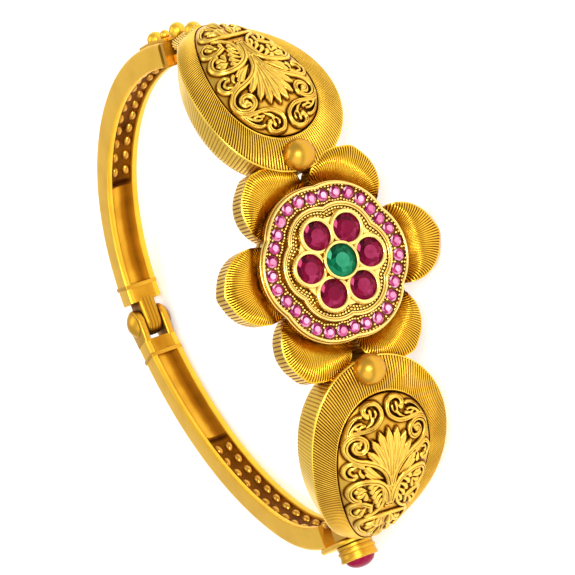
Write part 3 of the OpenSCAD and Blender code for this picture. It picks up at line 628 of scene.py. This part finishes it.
def cast_plaque(leaf):
    """Domed oval plaque with raised scrollwork and dark ground close to the scrolls."""
    u, v = np.meshgrid(np.linspace(-1, 1, RELIEF_COLUMNS), np.linspace(-1, 1, RELIEF_ROWS))
    x = u * np.sqrt(1 - v * v / 2) * 0.985
    y = v * np.sqrt(1 - u * u / 2) * 0.985
    s = PLAQUE_SHIFT + PLAQUE_L * x
    z = PLAQUE_W * y * (1 + PLAQUE_EGG * x)
    inside = np.clip((1 - np.hypot(x, y)) / 0.05, 0, 1)
    raised = softened(plaque_relief(s, z) * inside, 1)
    # Stain gathers beside each scroll and on ground that lies among scrolls, and the edge is dark
    hollow = np.clip((softened(raised, 14) - raised) / 0.13, 0, 1)
    close = np.clip(softened(raised, 30) / 0.2, 0, 1)
    bare = np.clip(1 - raised / 0.2, 0, 1)
    tone = 0.85 * hollow + bare * (0.17 + 0.38 * close)
    tone = np.maximum(np.clip(tone, 0, 1), 0.95 * np.clip(1 - inside * 1.2, 0, 1))
    height = BAND_RISE + dome(s, z) + raised - 0.1 * np.clip(1 - inside * 1.3, 0, 1)
    # The outermost row drops into the pocket below its neighbour
    whole = slice(None)
    for edge, inner in (((0, whole), (1, whole)), ((-1, whole), (-2, whole)),
                        ((whole, 0), (whole, 1)), ((whole, -1), (whole, -2))):
        s[edge], z[edge] = s[inner], z[inner]
        height[edge] = BAND_RISE - POCKET + 0.1
    return formed_sheet(wrap(leaf, s, z, height), tone)


# Name, setting, painted shade on the slope, mirror
LEAVES = [["upper", UPPER_SET, 0.0, None], ["lower", LOWER_SET, 0.09, MIRROR_Y]]
for name, leaf, painted_slope_shade, turn in LEAVES:
    hand_over(leaf_shell(leaf, painted_slope_shade), name + "_ribbed_leaf", "front", leaf_gold, turn=turn,
              smooth=50, replaces=[name + "_leaf"])
    hand_over(cast_plaque(leaf), name + "_scrolled_plaque", "front", relief_gold, turn=turn,
              smooth=70, replaces=[name + "_plaque"])

# Flower

FLOWER_BACK, EDGE_X, DIP_X = 24.9, 28, 26.9
RIM_X, RUBY_X, EMERALD_X = 28.7, 30.1, 30.6
DISC_R, WIRE_R, RUBY_RING, RUBY_R, EMERALD_R = 10.25, 7.65, 4.3, 1.88, 2.12
PINK_COUNT, PINK_R, PINK_RING, PINK_WAVE = 31, 0.79, 8.7, 0.3
# Distance from the flower's centre to the centres of a lobed outline's six circles
DISC_LOBE, WIRE_LOBE = 3, 3.1
FLOOR_X, FLOOR_UNDER = 28.05, 27.97
SEED_R, SEED_PITCH, GRANULE_R = 0.22, 0.45, 0.19
PETAL_OUT, PETAL_TIP = 10.25, 0.25
PETAL_POINTS, SLOPE_RIBS, WALL_RIBS = 641, 86, 58
# Axis of the first petal, counted from +Y towards +Z, and turn of the hand-set setting, in degrees
PETAL_TURN, SETTING_TURN = 29, -2
# Hand-set petals: [shift along Y, shift along Z, radius]
PETAL_SETS = [
    [-0.1, 0.1, 4.85],
    [-0.15, 0.3, 4.9],
    [0, 0.3, 4.95],
    [-0.15, 0.5, 4.9],
    [-0.2, 0.05, 5.1],
    [0, 0.45, 4.85],
]
# Side wall of a petal: [part of the radius, height]
PETAL_WALL = [[0.97, 24.96], [0.985, 25.4], [0.99, 26.2], [0.995, 27.2], [1.0, 27.8]]
# Crisp edge of a petal: [part of the radius, height over EDGE_X]
PETAL_EDGE = [[1.006, -0.08], [1.004, 0.01], [0.985, 0.07]]
# Top of a petal, from its edge inwards: [part of the radius, height, tone in a groove]
PETAL_TOP = [
    [0.96, 28.15, 1.0],
    [0.91, 28.36, 1.0],
    [0.84, 28.53, 0.85],
    [0.76, 28.6, 0.55],
    [0.66, 28.58, 0.4],
    [0.55, 28.48, 0.38],
    [0.42, 28.3, 0.4],
    [0.3, 28.1, 0.35],
    [0.18, 27.9, 0.2],
]


def about_flower(degrees):
    """Turn about the flower's axis, from +Y towards +Z."""
    return turn_by(degrees, "X")


def petal_shell(shift_y, shift_z, radius, turned_by):
    """A puffed petal with a soft point: upright ribs on its wall, a crisp edge, and fine ribs that
    gather at the disc, where the petal dips under it."""
    t = np.linspace(0, 2 * math.pi, PETAL_POINTS)
    a = math.radians(turned_by)
    centre = (PETAL_OUT + shift_y * math.cos(a) + shift_z * math.sin(a),
              shift_z * math.cos(a) - shift_y * math.sin(a))
    from_tip = np.minimum(t, 2 * math.pi - t)
    reach = radius + PETAL_TIP * np.exp(-((from_tip / 0.21) ** 2))
    slope = (1 - ribs(t / (2 * math.pi), SLOPE_RIBS)) ** 1.8
    wall = (1 - ribs(t / (2 * math.pi), WALL_RIBS)) ** 3.5
    # How far the ribs' gathering point lies from the petal's centre, towards the flower's
    gather = 2.4
    rows, tones = [], []

    def add(k, x, cut=0.0, tone=0.0, root=0.0):
        out = centre[0] - root + k * reach * np.cos(t)
        side = centre[1] + k * reach * np.sin(t)
        if x > EDGE_X - 0.12:
            open_part = np.clip((np.hypot(out, side) - DISC_R - 0.35) / 1.8, 0, 1)
            x = DIP_X + (x - DIP_X) * open_part * (2 - open_part)
            # Painted shade: the petal is darkened where it dips under the disc
            tone = tone + 0.32 * (1 - open_part) ** 2
        rows.append(np.stack([x - cut + 0 * t, out, side], -1))
        tones.append(np.clip(np.broadcast_to(tone, t.shape), 0, 1))

    for k in (0.001, 0.9):
        add(k, FLOWER_BACK, tone=0.4)
    for k, x in PETAL_WALL:
        add(k - 0.012 * wall, x, tone=0.85 * wall)
    for k, rise in PETAL_EDGE:
        add(k, EDGE_X + rise)
    for k, x, deep in PETAL_TOP:
        shallow = min(1, k * 1.6)
        add(k, x, 0.09 * slope * shallow, deep * slope, gather * (1 - k) ** 1.2)
    add(0.001, 27.8, root=gather)
    return formed_sheet(rows, tones)


for i, (shift_y, shift_z, radius) in enumerate(PETAL_SETS):
    turned_by = 60 * i + PETAL_TURN
    petal = petal_shell(shift_y, shift_z, radius, turned_by)
    hand_over(petal, f"ribbed_petal_{i + 1}", "front", petal_gold, turn=about_flower(turned_by),
              smooth=50, replaces=[f"petal_{i + 1}"])


def lobed(degrees, radius, out):
    """Distance from the flower's axis to a six-lobed outline."""
    d = np.radians((np.asarray(degrees, float) - 30) % 60)
    d = np.where(d > math.pi / 6, d - math.pi / 3, d)
    return out * np.cos(d) + np.sqrt((radius - out) ** 2 - (out * np.sin(d)) ** 2)


def round_flower(degrees, radius, x):
    """Points round the flower's axis."""
    a = np.radians(degrees)
    return np.stack([np.broadcast_to(x, a.shape), radius * np.cos(a), radius * np.sin(a)], -1)


def lobed_ring(radius, out, x):
    return round_flower(full_turn, lobed(full_turn, radius, out), x)


def set_in_flower(piece, name, metal, smooth=60, **more):
    """Hands over a piece of the hand-set setting."""
    hand_over(piece, name, "front", metal, smooth, turn=about_flower(SETTING_TURN), **more)


full_turn = np.arange(0, 360, 1.5)
# The rim's two wires, and the thick and the thin wire round the ruby flower:
# [radius of the line, lobe, height, radius of the wire]
WIRES = [
    [DISC_R - 0.2, DISC_LOBE, RIM_X - 0.02, 0.2],
    [DISC_R + 0.02, DISC_LOBE, RIM_X - 0.5, 0.15],
    [WIRE_R - 0.12, WIRE_LOBE, 29.3, 0.17],
    [WIRE_R - 0.42, WIRE_LOBE, 29.25, 0.12],
]
wires = [drawn_wire(lobed_ring(*line), thick) for *line, thick in WIRES]
set_in_flower(joined(wires), "lobed_wires", bead_gold)

closed_turn = np.append(full_turn, 360)
outside = (DISC_R - 0.36, DISC_LOBE)
floor_section = [(*outside, FLOOR_UNDER), (*outside, FLOOR_X), (WIRE_R, WIRE_LOBE, FLOOR_X),
                 (WIRE_R, WIRE_LOBE, FLOOR_UNDER), (*outside, FLOOR_UNDER)]
floor_rows = [round_flower(closed_turn, lobed(closed_turn, radius, out), x)
              for radius, out, x in floor_section]
channel_floor = formed_sheet(floor_rows, fill=False)
set_in_flower(channel_floor, "stone_channel_floor", floor_gold, smooth=40)


def spaced(radius, out, pitch):
    """Angles at equal steps along a lobed outline."""
    a = np.arange(0, 360, 0.25)
    p = round_flower(a, lobed(a, radius, out), 0.0)
    step = np.linalg.norm(np.roll(p, -1, 0) - p, axis=1)
    run = np.concatenate([[0], np.cumsum(step)])
    count = round(run[-1] / pitch)
    return np.interp(np.arange(count) * run[-1] / count, run[:-1], a)


def off_the_rubies(p):
    """Distance from a point to the nearest ruby's axis."""
    axes = round_flower(60 * np.arange(6) + 30, RUBY_RING, p[0])
    return np.linalg.norm(axes - p, axis=1).min()


# Two rows of seed beads inside the wires: [radius, height]
SEED_ROWS = [[WIRE_R - 0.75, 29.06], [WIRE_R - 1.16, 29.02]]
beads = []
for radius, x in SEED_ROWS:
    angles = spaced(radius, WIRE_LOBE, SEED_PITCH)
    places = round_flower(angles, lobed(angles, radius, WIRE_LOBE), x)
    beads += [p for p in places if off_the_rubies(p) > RUBY_R + 0.55]
set_in_flower(soldered(grain(SEED_R), beads), "seed_beads", bead_gold)


def stone_ring(degrees):
    """Radius of the wavy line that the small stones lie on."""
    return PINK_RING + PINK_WAVE * math.cos(math.radians(6 * (degrees - 30)))


# Granules that hold the small stones: [part of the pitch from a stone, distance from that line]
GRANULES = [[0.5, 0.9], [0.5, -0.88], [0.5, 0.5], [0.5, -0.5], [0.26, 0.97], [-0.26, 0.97],
            [0.24, -0.97], [-0.24, -0.97], [0, 1.03], [0, -1.03]]
granules = []
for i in range(PINK_COUNT):
    for off, radius in GRANULES:
        a = (i + 0.5 + off) * 360 / PINK_COUNT
        granules.append(round_flower(np.array(a), stone_ring(a) + radius, RIM_X - 0.14))
set_in_flower(soldered(grain(GRANULE_R), granules), "stone_granules", bead_gold)


def upright(piece, x, out=0.0, degrees=0.0):
    """Stands a piece turned round Z onto the flower's axis."""
    flat = Matrix(((0, 0, 1, 0), (1, 0, 0, 0), (0, 1, 0, 0), (0, 0, 0, 1)))
    piece.data.transform(about_flower(degrees) @ Matrix.Translation((x, out, 0)) @ flat)
    return piece


def collet_ring(radius, wall, low, high, rise=0.16):
    """A plain bezel with a rounded lip."""
    lip = [(radius + wall / 2 + wall / 2 * math.cos(a), high + rise * math.sin(a))
           for a in np.linspace(0, math.pi, 9)]
    return turned([(radius + wall, low)] + lip + [(radius, low)], 56)


collets = [upright(collet_ring(EMERALD_R - 0.05, 0.4, -0.9, 0.0), EMERALD_X - 0.28)]
for i in range(6):
    collet = collet_ring(RUBY_R - 0.04, 0.5, -0.9, 0.0)
    collets.append(upright(collet, RUBY_X - 0.2, RUBY_RING, 60 * i + 30))
set_in_flower(joined(collets), "stone_collets", bead_gold)


def cut_stone(radius, table, crown, deep, sides):
    """Round stone: pavilion, thin girdle, two rows of crown facets and a flat table."""
    rows = []
    # Each row: [part of the radius, height, turn as a part of a facet]
    crown_break = [0.5 + table / 2, crown * 0.6, 0.5]
    section = [[0.0, -deep, 0], [1, -0.1, 0], [1, 0.05, 0], crown_break, [table, crown, 0],
               [0.0, crown, 0]]
    for k, height, off in section:
        a = (np.arange(sides + 1) + off) * 2 * math.pi / sides
        rows.append(np.stack([k * radius * np.cos(a), k * radius * np.sin(a), height + 0 * a], -1))
    return formed_sheet(rows)


def painted_foil_light(piece, table_light, spread=0.16):
    """Paints on each facet the light that the foil would send back: more low down, and most in the
    table.
    """
    count = len(piece.data.polygons)
    normals = np.empty(count * 3)
    piece.data.polygons.foreach_get("normal", normals)
    normals = normals.reshape(-1, 3)
    flat = normals[:, 0] > 0.985
    light = 0.34 - 0.36 * normals[:, 1] - 0.12 * normals[:, 2] + rng.uniform(-spread, spread, count)
    light[flat] = table_light
    # A painted reflection: one facet at the table's upper left is painted as throwing the window
    # back
    steep = (normals[:, 0] > 0.6) & (normals[:, 0] < 0.985)
    toward = np.where(steep, 0.7 * normals[:, 1] + 0.7 * normals[:, 2], -1)
    light[toward.argmax()] = 1.0
    facet = piece.data.attributes.new("facet", "FLOAT", "FACE")
    facet.data.foreach_set("value", np.clip(light, 0, 1).astype(np.float32))
    return piece


# The stones are cut again here, because each facet needs its own painted light from the foil
emerald = cut_stone(EMERALD_R, table=0.46, crown=0.55, deep=1.2, sides=12)
emerald = upright(emerald, EMERALD_X - 0.55)
set_in_flower(painted_foil_light(emerald, 0.66), "emerald_brilliant", emerald_glass, smooth=0,
              slot="emerald", replaces=["emerald"])
for i in range(6):
    ruby = cut_stone(RUBY_R, table=0.48, crown=0.5, deep=1.05, sides=12)
    ruby.data.transform(Matrix.Rotation(rng.uniform(0, 0.5), 4, "Z"))
    ruby = upright(ruby, RUBY_X - 0.5, RUBY_RING, 60 * i + 30)
    ruby = painted_foil_light(ruby, rng.uniform(0.42, 0.62))
    set_in_flower(ruby, f"ruby_brilliant_{i + 1}", ruby_glass, smooth=0, slot="ruby",
                  replaces=[f"ruby_{i + 1}"])
pinks = []
for i in range(PINK_COUNT):
    a = (i + 0.5) * 360 / PINK_COUNT
    pink = cut_stone(PINK_R, table=0.5, crown=0.4, deep=0.42, sides=8)
    pink.data.transform(Matrix.Rotation(rng.uniform(0, 0.8), 4, "Z"))
    pink = upright(pink, RIM_X - 0.25, stone_ring(a), a)
    pinks.append(painted_foil_light(pink, rng.uniform(0.55, 0.95), 0.3))
set_in_flower(joined(pinks), "pink_brilliants", pink_glass, smooth=0, slot="pink_stone",
              replaces=["pink_stones"])

# Arms

ARM_W, ARM_D, RIM_W, RECESS, PLAIN_RECESS = 4.6, 3.15, 0.8, 0.7, 0.5
# An arm's inner face: [start, heading in degrees, tangent arcs as (radius, sweep in degrees)]
UPPER_CHAIN = [(-28.9, 2.2), 95, [(24, 48), (30.7, 42), (30, 12)]]
LOWER_CHAIN = [(-28.5, 3.05), 74.2, [(43.3, 47), (21.5, 31)]]
# Length of the solid block beside the hinge, and the hinge's centre, knuckle and cheeks
BLOCK, HINGE, KNUCKLE_R = 2.2, (-30.5, -0.75), 1.95
TONGUE_HALF, CHEEK_T, CHEEKS_AT = 1.15, 1.05, (-2.3, 1.25)
BOSS_PITCH, BOSS_AT = 2.35, 0.86


def facing(degrees):
    """Unit vector in the ring's plane."""
    a = math.radians(degrees)
    return np.array([math.cos(a), math.sin(a)])


def on_arcs(start, heading, arcs, s):
    """Point and outward direction at a distance along a chain of tangent arcs."""
    p, h = np.array(start, float), heading
    for i, (radius, sweep) in enumerate(arcs):
        centre = p + radius * facing(h - 90)
        run = math.radians(radius * sweep)
        if s <= run or i == len(arcs) - 1:
            turn = h + 90 - math.degrees(s / radius)
            return centre + radius * facing(turn), turn
        p, h, s = centre + radius * facing(h - sweep + 90), h - sweep, s - run


def arcs_length(arcs):
    return sum(math.radians(radius * sweep) for radius, sweep in arcs)


def stood_at(point, turn, z=0):
    """A place beside the ring's plane, with X turned outwards."""
    return Matrix.Translation((point[0], point[1], z)) @ turn_by(turn, "Z")


def channel_section(deep, tone):
    """Half a section, from its middle: [outwards from the inner face, along the wrist, tone].
    The bossed floor is nearly flat, and the plain floor is coved up to the rims."""
    w, rim, c = ARM_W / 2, ARM_W / 2 - RIM_W, 0.5
    cove = 0.25 if deep == RECESS else 1.0
    return [
        [deep, 0, tone],
        [deep * (1 - 0.06 * cove), rim * 0.4, tone],
        [deep * (1 - 0.22 * cove), rim * 0.66, tone * 0.9],
        [deep * (1 - 0.42 * cove), rim * 0.84, tone * 0.8],
        [deep * (1 - 0.66 * cove), rim * 0.96, tone * 0.6],
        [0.08, rim + 0.01, 0.2],
        [0, rim + 0.09, 0],
        [-0.02, rim + 0.35, 0],
        [0, w - 0.14, 0],
        [0.1, w, 0],
        [ARM_D - c, w, 0],
        [ARM_D - c * 0.45, w - c * 0.12, 0],
        [ARM_D - c * 0.12, w - c * 0.45, 0],
        [ARM_D, w - c, 0],
        [ARM_D + 0.04, w * 0.4, 0],
        [ARM_D + 0.05, 0, 0],
    ]


def folded_channel(start, heading, arcs, plain):
    """Sheet folded to a channel that opens inwards, with soft folds and a thin lip on each side."""
    stops = [0, 0.4, 1.2, BLOCK - 0.05, BLOCK + 0.05]
    stops += list(np.linspace(2.6, plain, 60))
    stops += list(np.linspace(plain + 0.12, arcs_length(arcs), 150))
    rows, tones = [], []
    for s in stops:
        deep = 0.03 if s < BLOCK else PLAIN_RECESS if s < plain + 0.05 else RECESS
        # Stain is darkest at the step between the floors, and the block has little
        stained = 1.0 if abs(s - plain) < 0.35 else 0.8 if deep == RECESS else 0.5
        half = channel_section(deep, stained if s > BLOCK else 0.3)
        # Painted light and shade on the plain floor: lighter along one side and a little in the
        # middle, darker along the other
        painted_lit_side, middle, dull = (0.35, 0.8, 1.3) if BLOCK < s < plain - 0.4 else (1, 1, 1)
        half[0][2] *= middle
        section = [half[0]] + [[a, b, tone * painted_lit_side] for a, b, tone in half[1:]]
        section += [[a, -b, tone * dull] for a, b, tone in half[:0:-1]] + [half[0]]
        point, turn = on_arcs(start, heading, arcs, s)
        out = facing(turn)
        rows.append([[point[0] + a * out[0], point[1] + a * out[1], b] for a, b, tone in section])
        tones.append([tone for a, b, tone in section])
    return formed_sheet(rows, tones)


def hinge_outline(centre, start, heading, arcs):
    """Outline with a round end that reaches back to its arm's block."""
    point, turn = on_arcs(start, heading, arcs, 0.4)
    out = facing(turn)
    centre = np.array(centre)
    side = -1 if np.dot(facing(turn + 90), point - centre) > 0 else 1
    sweep = np.linspace(0, 180, 36)
    arc = [tuple(centre + KNUCKLE_R * facing(turn + side * a)) for a in sweep]
    return [tuple(point + ARM_D * out)] + arc + [tuple(point)]


def reeded_knuckle(outline, half):
    """A knuckle crowned across its width, with three worn grooves round it."""
    p = np.array(outline + outline[:1])
    inwards = p.mean(0) - p
    inwards /= np.linalg.norm(inwards, axis=1)[:, None]
    rows, tones = [], []
    for z in np.linspace(-half, half, 33):
        groove = abs(math.cos(math.pi * z / 0.48)) ** 9 * (abs(z) < 0.7 * half)
        drop = 0.38 * abs(z / half) ** 5 + 0.035 * groove
        rows.append(np.column_stack([p + drop * inwards, np.full(len(p), z)]))
        tones.append(np.full(len(p), 0.15 + 0.3 * groove))
    return formed_sheet(rows, tones)


def block_collar(start, heading, arcs):
    """A thin band round an arm where its end block meets the channel."""
    point, turn = on_arcs(start, heading, arcs, BLOCK)
    w, low, top = ARM_W / 2 + 0.06, -0.07, ARM_D + 0.1
    outline = [(low, -w), (low, w), (top, w), (top, -w)]
    collar = cut_plate(outline, -0.3, 0.3, edge=0.14, steps=3)
    stand = Matrix(((1, 0, 0, 0), (0, 0, 1, 0), (0, 1, 0, 0), (0, 0, 0, 1)))
    collar.data.transform(stood_at(point, turn) @ stand)
    collar.data.flip_normals()
    return collar


def boss_places(start, heading, arcs, first, last):
    """Two rows of places on the floor, a little uneven as punched by hand."""
    count = int((last - first) // BOSS_PITCH)
    places = []
    for i in range(count):
        point, turn = on_arcs(start, heading, arcs, first + (i + 0.5) * (last - first) / count)
        at = point + (RECESS - 0.02) * facing(turn)
        for side in (-1, 1):
            z = side * (BOSS_AT + rng.uniform(-0.06, 0.1))
            places.append(stood_at(at, turn, z) @ turn_by(rng.uniform(-12, 12), "X"))
    return places


def oval_boss():
    """A boss pressed up from the floor, longer along the arm than across."""
    profile = [(0.0, -0.5), (0.16, -0.48), (0.32, -0.4), (0.45, -0.25), (0.54, -0.05),
               (0.58, 0.15), (0.0, 0.15)]
    piece = turned(profile, 20)
    piece.data.transform(Matrix.Diagonal((1, 1.5, 1, 1)) @ turn_by(90, "Y"))
    return piece


# Name, chain, length of the plain floor, mirror, body
ARMS = [
    ["upper_arm", UPPER_CHAIN, 16.5, None, "front"],
    ["lower_arm", LOWER_CHAIN, 17, MIRROR_Y, "lower_arm"],
]
for name, chain, plain, turn, body in ARMS:
    channel = folded_channel(*chain, plain)
    hand_over(channel, name + "_channel", body, channel_gold, turn=turn, smooth=40, replaces=[name])
    places = boss_places(*chain, plain + 0.6, arcs_length(chain[2]) - 0.6)
    bosses = soldered(oval_boss(), places)
    hand_over(bosses, name + "_bosses", body, boss_gold, turn=turn, smooth=50)
    hand_over(block_collar(*chain), name + "_collar", body, hinge_gold, turn=turn, smooth=40)

knuckle = reeded_knuckle(hinge_outline(HINGE, *UPPER_CHAIN), TONGUE_HALF)
hand_over(knuckle, "hinge_tongue", "front", hinge_gold, smooth=40)
cheek_outline = hinge_outline((HINGE[0], -HINGE[1]), *LOWER_CHAIN)
cheeks = [cut_plate(cheek_outline, low, low + CHEEK_T, edge=0.3, steps=4) for low in CHEEKS_AT]
hand_over(joined(cheeks), "hinge_cheeks", "lower_arm", hinge_gold, turn=MIRROR_Y, smooth=40)

# Joints

SCREW_AT, SCREW_TURN, CUP_H = (8.9, 36.4), 83, 2.05
LIP_R, LIP_T, LIP_REACH = 2.3, 0.8, 5


def on_screw_axis(height):
    """Place on the screw's axis, +Z outwards, at a height measured from the cup's middle."""
    at = np.array(SCREW_AT) + height * facing(SCREW_TURN)
    return stood_at(at, SCREW_TURN) @ turn_by(90, "Y")


# Plate under the cup, soldered to the outside of the lower arm, with round ends
ends = [(LIP_R * facing(a)[0], LIP_REACH + LIP_R * facing(a)[1]) for a in range(0, 181, 12)]
ends += [(LIP_R * facing(a)[0], LIP_R * facing(a)[1]) for a in range(180, 361, 12)]
lip = cut_plate(ends, 0, LIP_T, edge=0.34, steps=4)
lip.data.transform(on_screw_axis(-CUP_H / 2 - 0.85))
hand_over(lip, "clasp_tongue", "lower_arm", matt_gold, turn=MIRROR_Y, smooth=40)

# Rounded lip, middle ring and foot ring of the cup: [inner radius, wall, height]
CUP_RINGS = [[2.04, 0.46, CUP_H / 2 - 0.08], [2.1, 0.42, -0.05], [2.1, 0.3, -CUP_H / 2 + 0.3]]
cup_rings = []
for radius, wall, height in CUP_RINGS:
    ring = collet_ring(radius, wall, -0.3, 0.0, 0.14)
    ring.data.transform(on_screw_axis(height))
    cup_rings.append(ring)
hand_over(joined(cup_rings), "cup_rings", "screw", hinge_gold, turn=MIRROR_Y, smooth=50)

# Grains on the lug's sleeve, in rings that are half a step apart
SLEEVE_AT, SLEEVE_TURN, SLEEVE_R = np.array([5.35, 32.47]), 3.5, 0.9
GRAIN_RINGS, GRAINS_ROUND, GRAIN_PITCH = 19, 15, 0.36
grains = []
for i in range(GRAIN_RINGS):
    along = SLEEVE_AT + (0.2 + GRAIN_PITCH * i) * facing(SLEEVE_TURN)
    for j in range(GRAINS_ROUND):
        a = 2 * math.pi * (j + 0.5 * (i % 2)) / GRAINS_ROUND
        lift = SLEEVE_R * math.cos(a) * facing(SLEEVE_TURN + 90)
        grains.append((along[0] + lift[0], along[1] + lift[1], SLEEVE_R * math.sin(a)))
hand_over(soldered(grain(GRANULE_R), grains), "lug_grains", "front", bead_gold, smooth=60)

# The solids whose shape is right get their metal or glass
CAD_FINISH = {
    "front_band": hinge_gold,
    "joint_lug": matt_gold,
    "hinge_pin": hinge_gold,
    "clasp_screw": hinge_gold,
    "flower_disc": bead_gold,
    "upper_ball": ball_gold,
    "lower_ball": ball_gold,
    "clasp_ruby": cabochon_glass,
}
for name, finish in CAD_FINISH.items():
    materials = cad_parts[name].data.materials
    materials.clear()
    materials.append(finish)

# Studio

# The sheet of paper falls away behind the lower arm, parallel to the tilted ring, so that the arm
# is clear of it when it swings open. In metres: [distance behind the ring's middle, height]
FALL = np.array([-0.868, -0.497])
SHEET = [[-3, 0], [0.0245, 0], [0.0258, -0.0001], [0.0271, -0.0003], [0.0285, -0.0006],
         [0.06, -0.0084], [0.064, -0.0092], [0.068, -0.0098], [0.073, -0.01], [3, -0.01]]
HALF_SHEET, BELOW = 3, 0.00002
across = np.array([-FALL[1], FALL[0]])
sheet_rows = []
for behind, height in SHEET:
    edges = [behind * FALL + side * HALF_SHEET * across for side in (-1, 1)]
    sheet_rows.append([[x, y, height - BELOW] for x, y in edges])
ground = formed_sheet(sheet_rows, fill=False)
active(ground)
bpy.ops.object.shade_smooth()
ground.name = "studio_floor"
# Matt white paper with faint clouds, bright enough that hardly a shadow shows
paper = new_material("matt_white_paper")
sheet_place = put(paper, "ShaderNodeTexCoord").outputs["Object"]
mottle = put(paper, "ShaderNodeTexNoise", {"Vector": sheet_place}, Scale=12.0)
shade = colour_ramp(paper, mottle.outputs["Fac"], [(0.0, "#F9F9F8"), (1.0, "#FCFCFB")])
paper_shader = put(paper, "ShaderNodeBsdfPrincipled",
                   {"Base Color": shade, "Emission Color": shade},
                   Roughness=0.95, Emission_Strength=0.25)
put(paper, "ShaderNodeOutputMaterial", {"Surface": paper_shader.outputs["BSDF"]})
ground.data.materials.append(paper)


def softbox(name, place, size, power):
    """A square window of light, aimed at the middle of the bangle."""
    deselect_all()
    bpy.ops.object.light_add(type="AREA", location=place)
    light = bpy.context.object
    light.name = name
    light.data.shape = "RECTANGLE"
    light.data.size, light.data.size_y = size
    light.data.energy = power
    aim = Vector((0, 0, 0.01)) - Vector(place)
    light.rotation_euler = aim.to_track_quat("-Z", "Y").to_euler()


softbox("key_left", (0.25, -0.45, 0.55), (0.8, 0.8), 1.9)
softbox("top_back", (-0.35, 0.25, 0.6), (0.5, 0.4), 1.1)
softbox("by_camera", (0.54, 0.03, 0.5), (0.17, 0.17), 2.9)

world = bpy.context.scene.world or bpy.data.worlds.new("studio")
bpy.context.scene.world = world
world.use_nodes = True
world_nodes = world.node_tree.nodes
backdrop = world_nodes.get("Background") or world_nodes.new("ShaderNodeBackground")
backdrop.inputs["Color"].default_value = srgb("#FFFFFF")
backdrop.inputs["Strength"].default_value = 0.64

deselect_all()
bpy.ops.object.camera_add(
    location=(0.477123, -0.032193, 0.375877),
    rotation=(math.radians(-12.6745), math.radians(50.8042), math.radians(-20.1576)),
)
camera = bpy.context.object
camera.name = "photo_camera"
camera.data.lens = 290.337
camera.data.sensor_width = 36
camera.data.clip_start = 0.05
camera.data.clip_end = 20
bpy.context.scene.camera = camera

bpy.context.scene.view_settings.view_transform = "Standard"
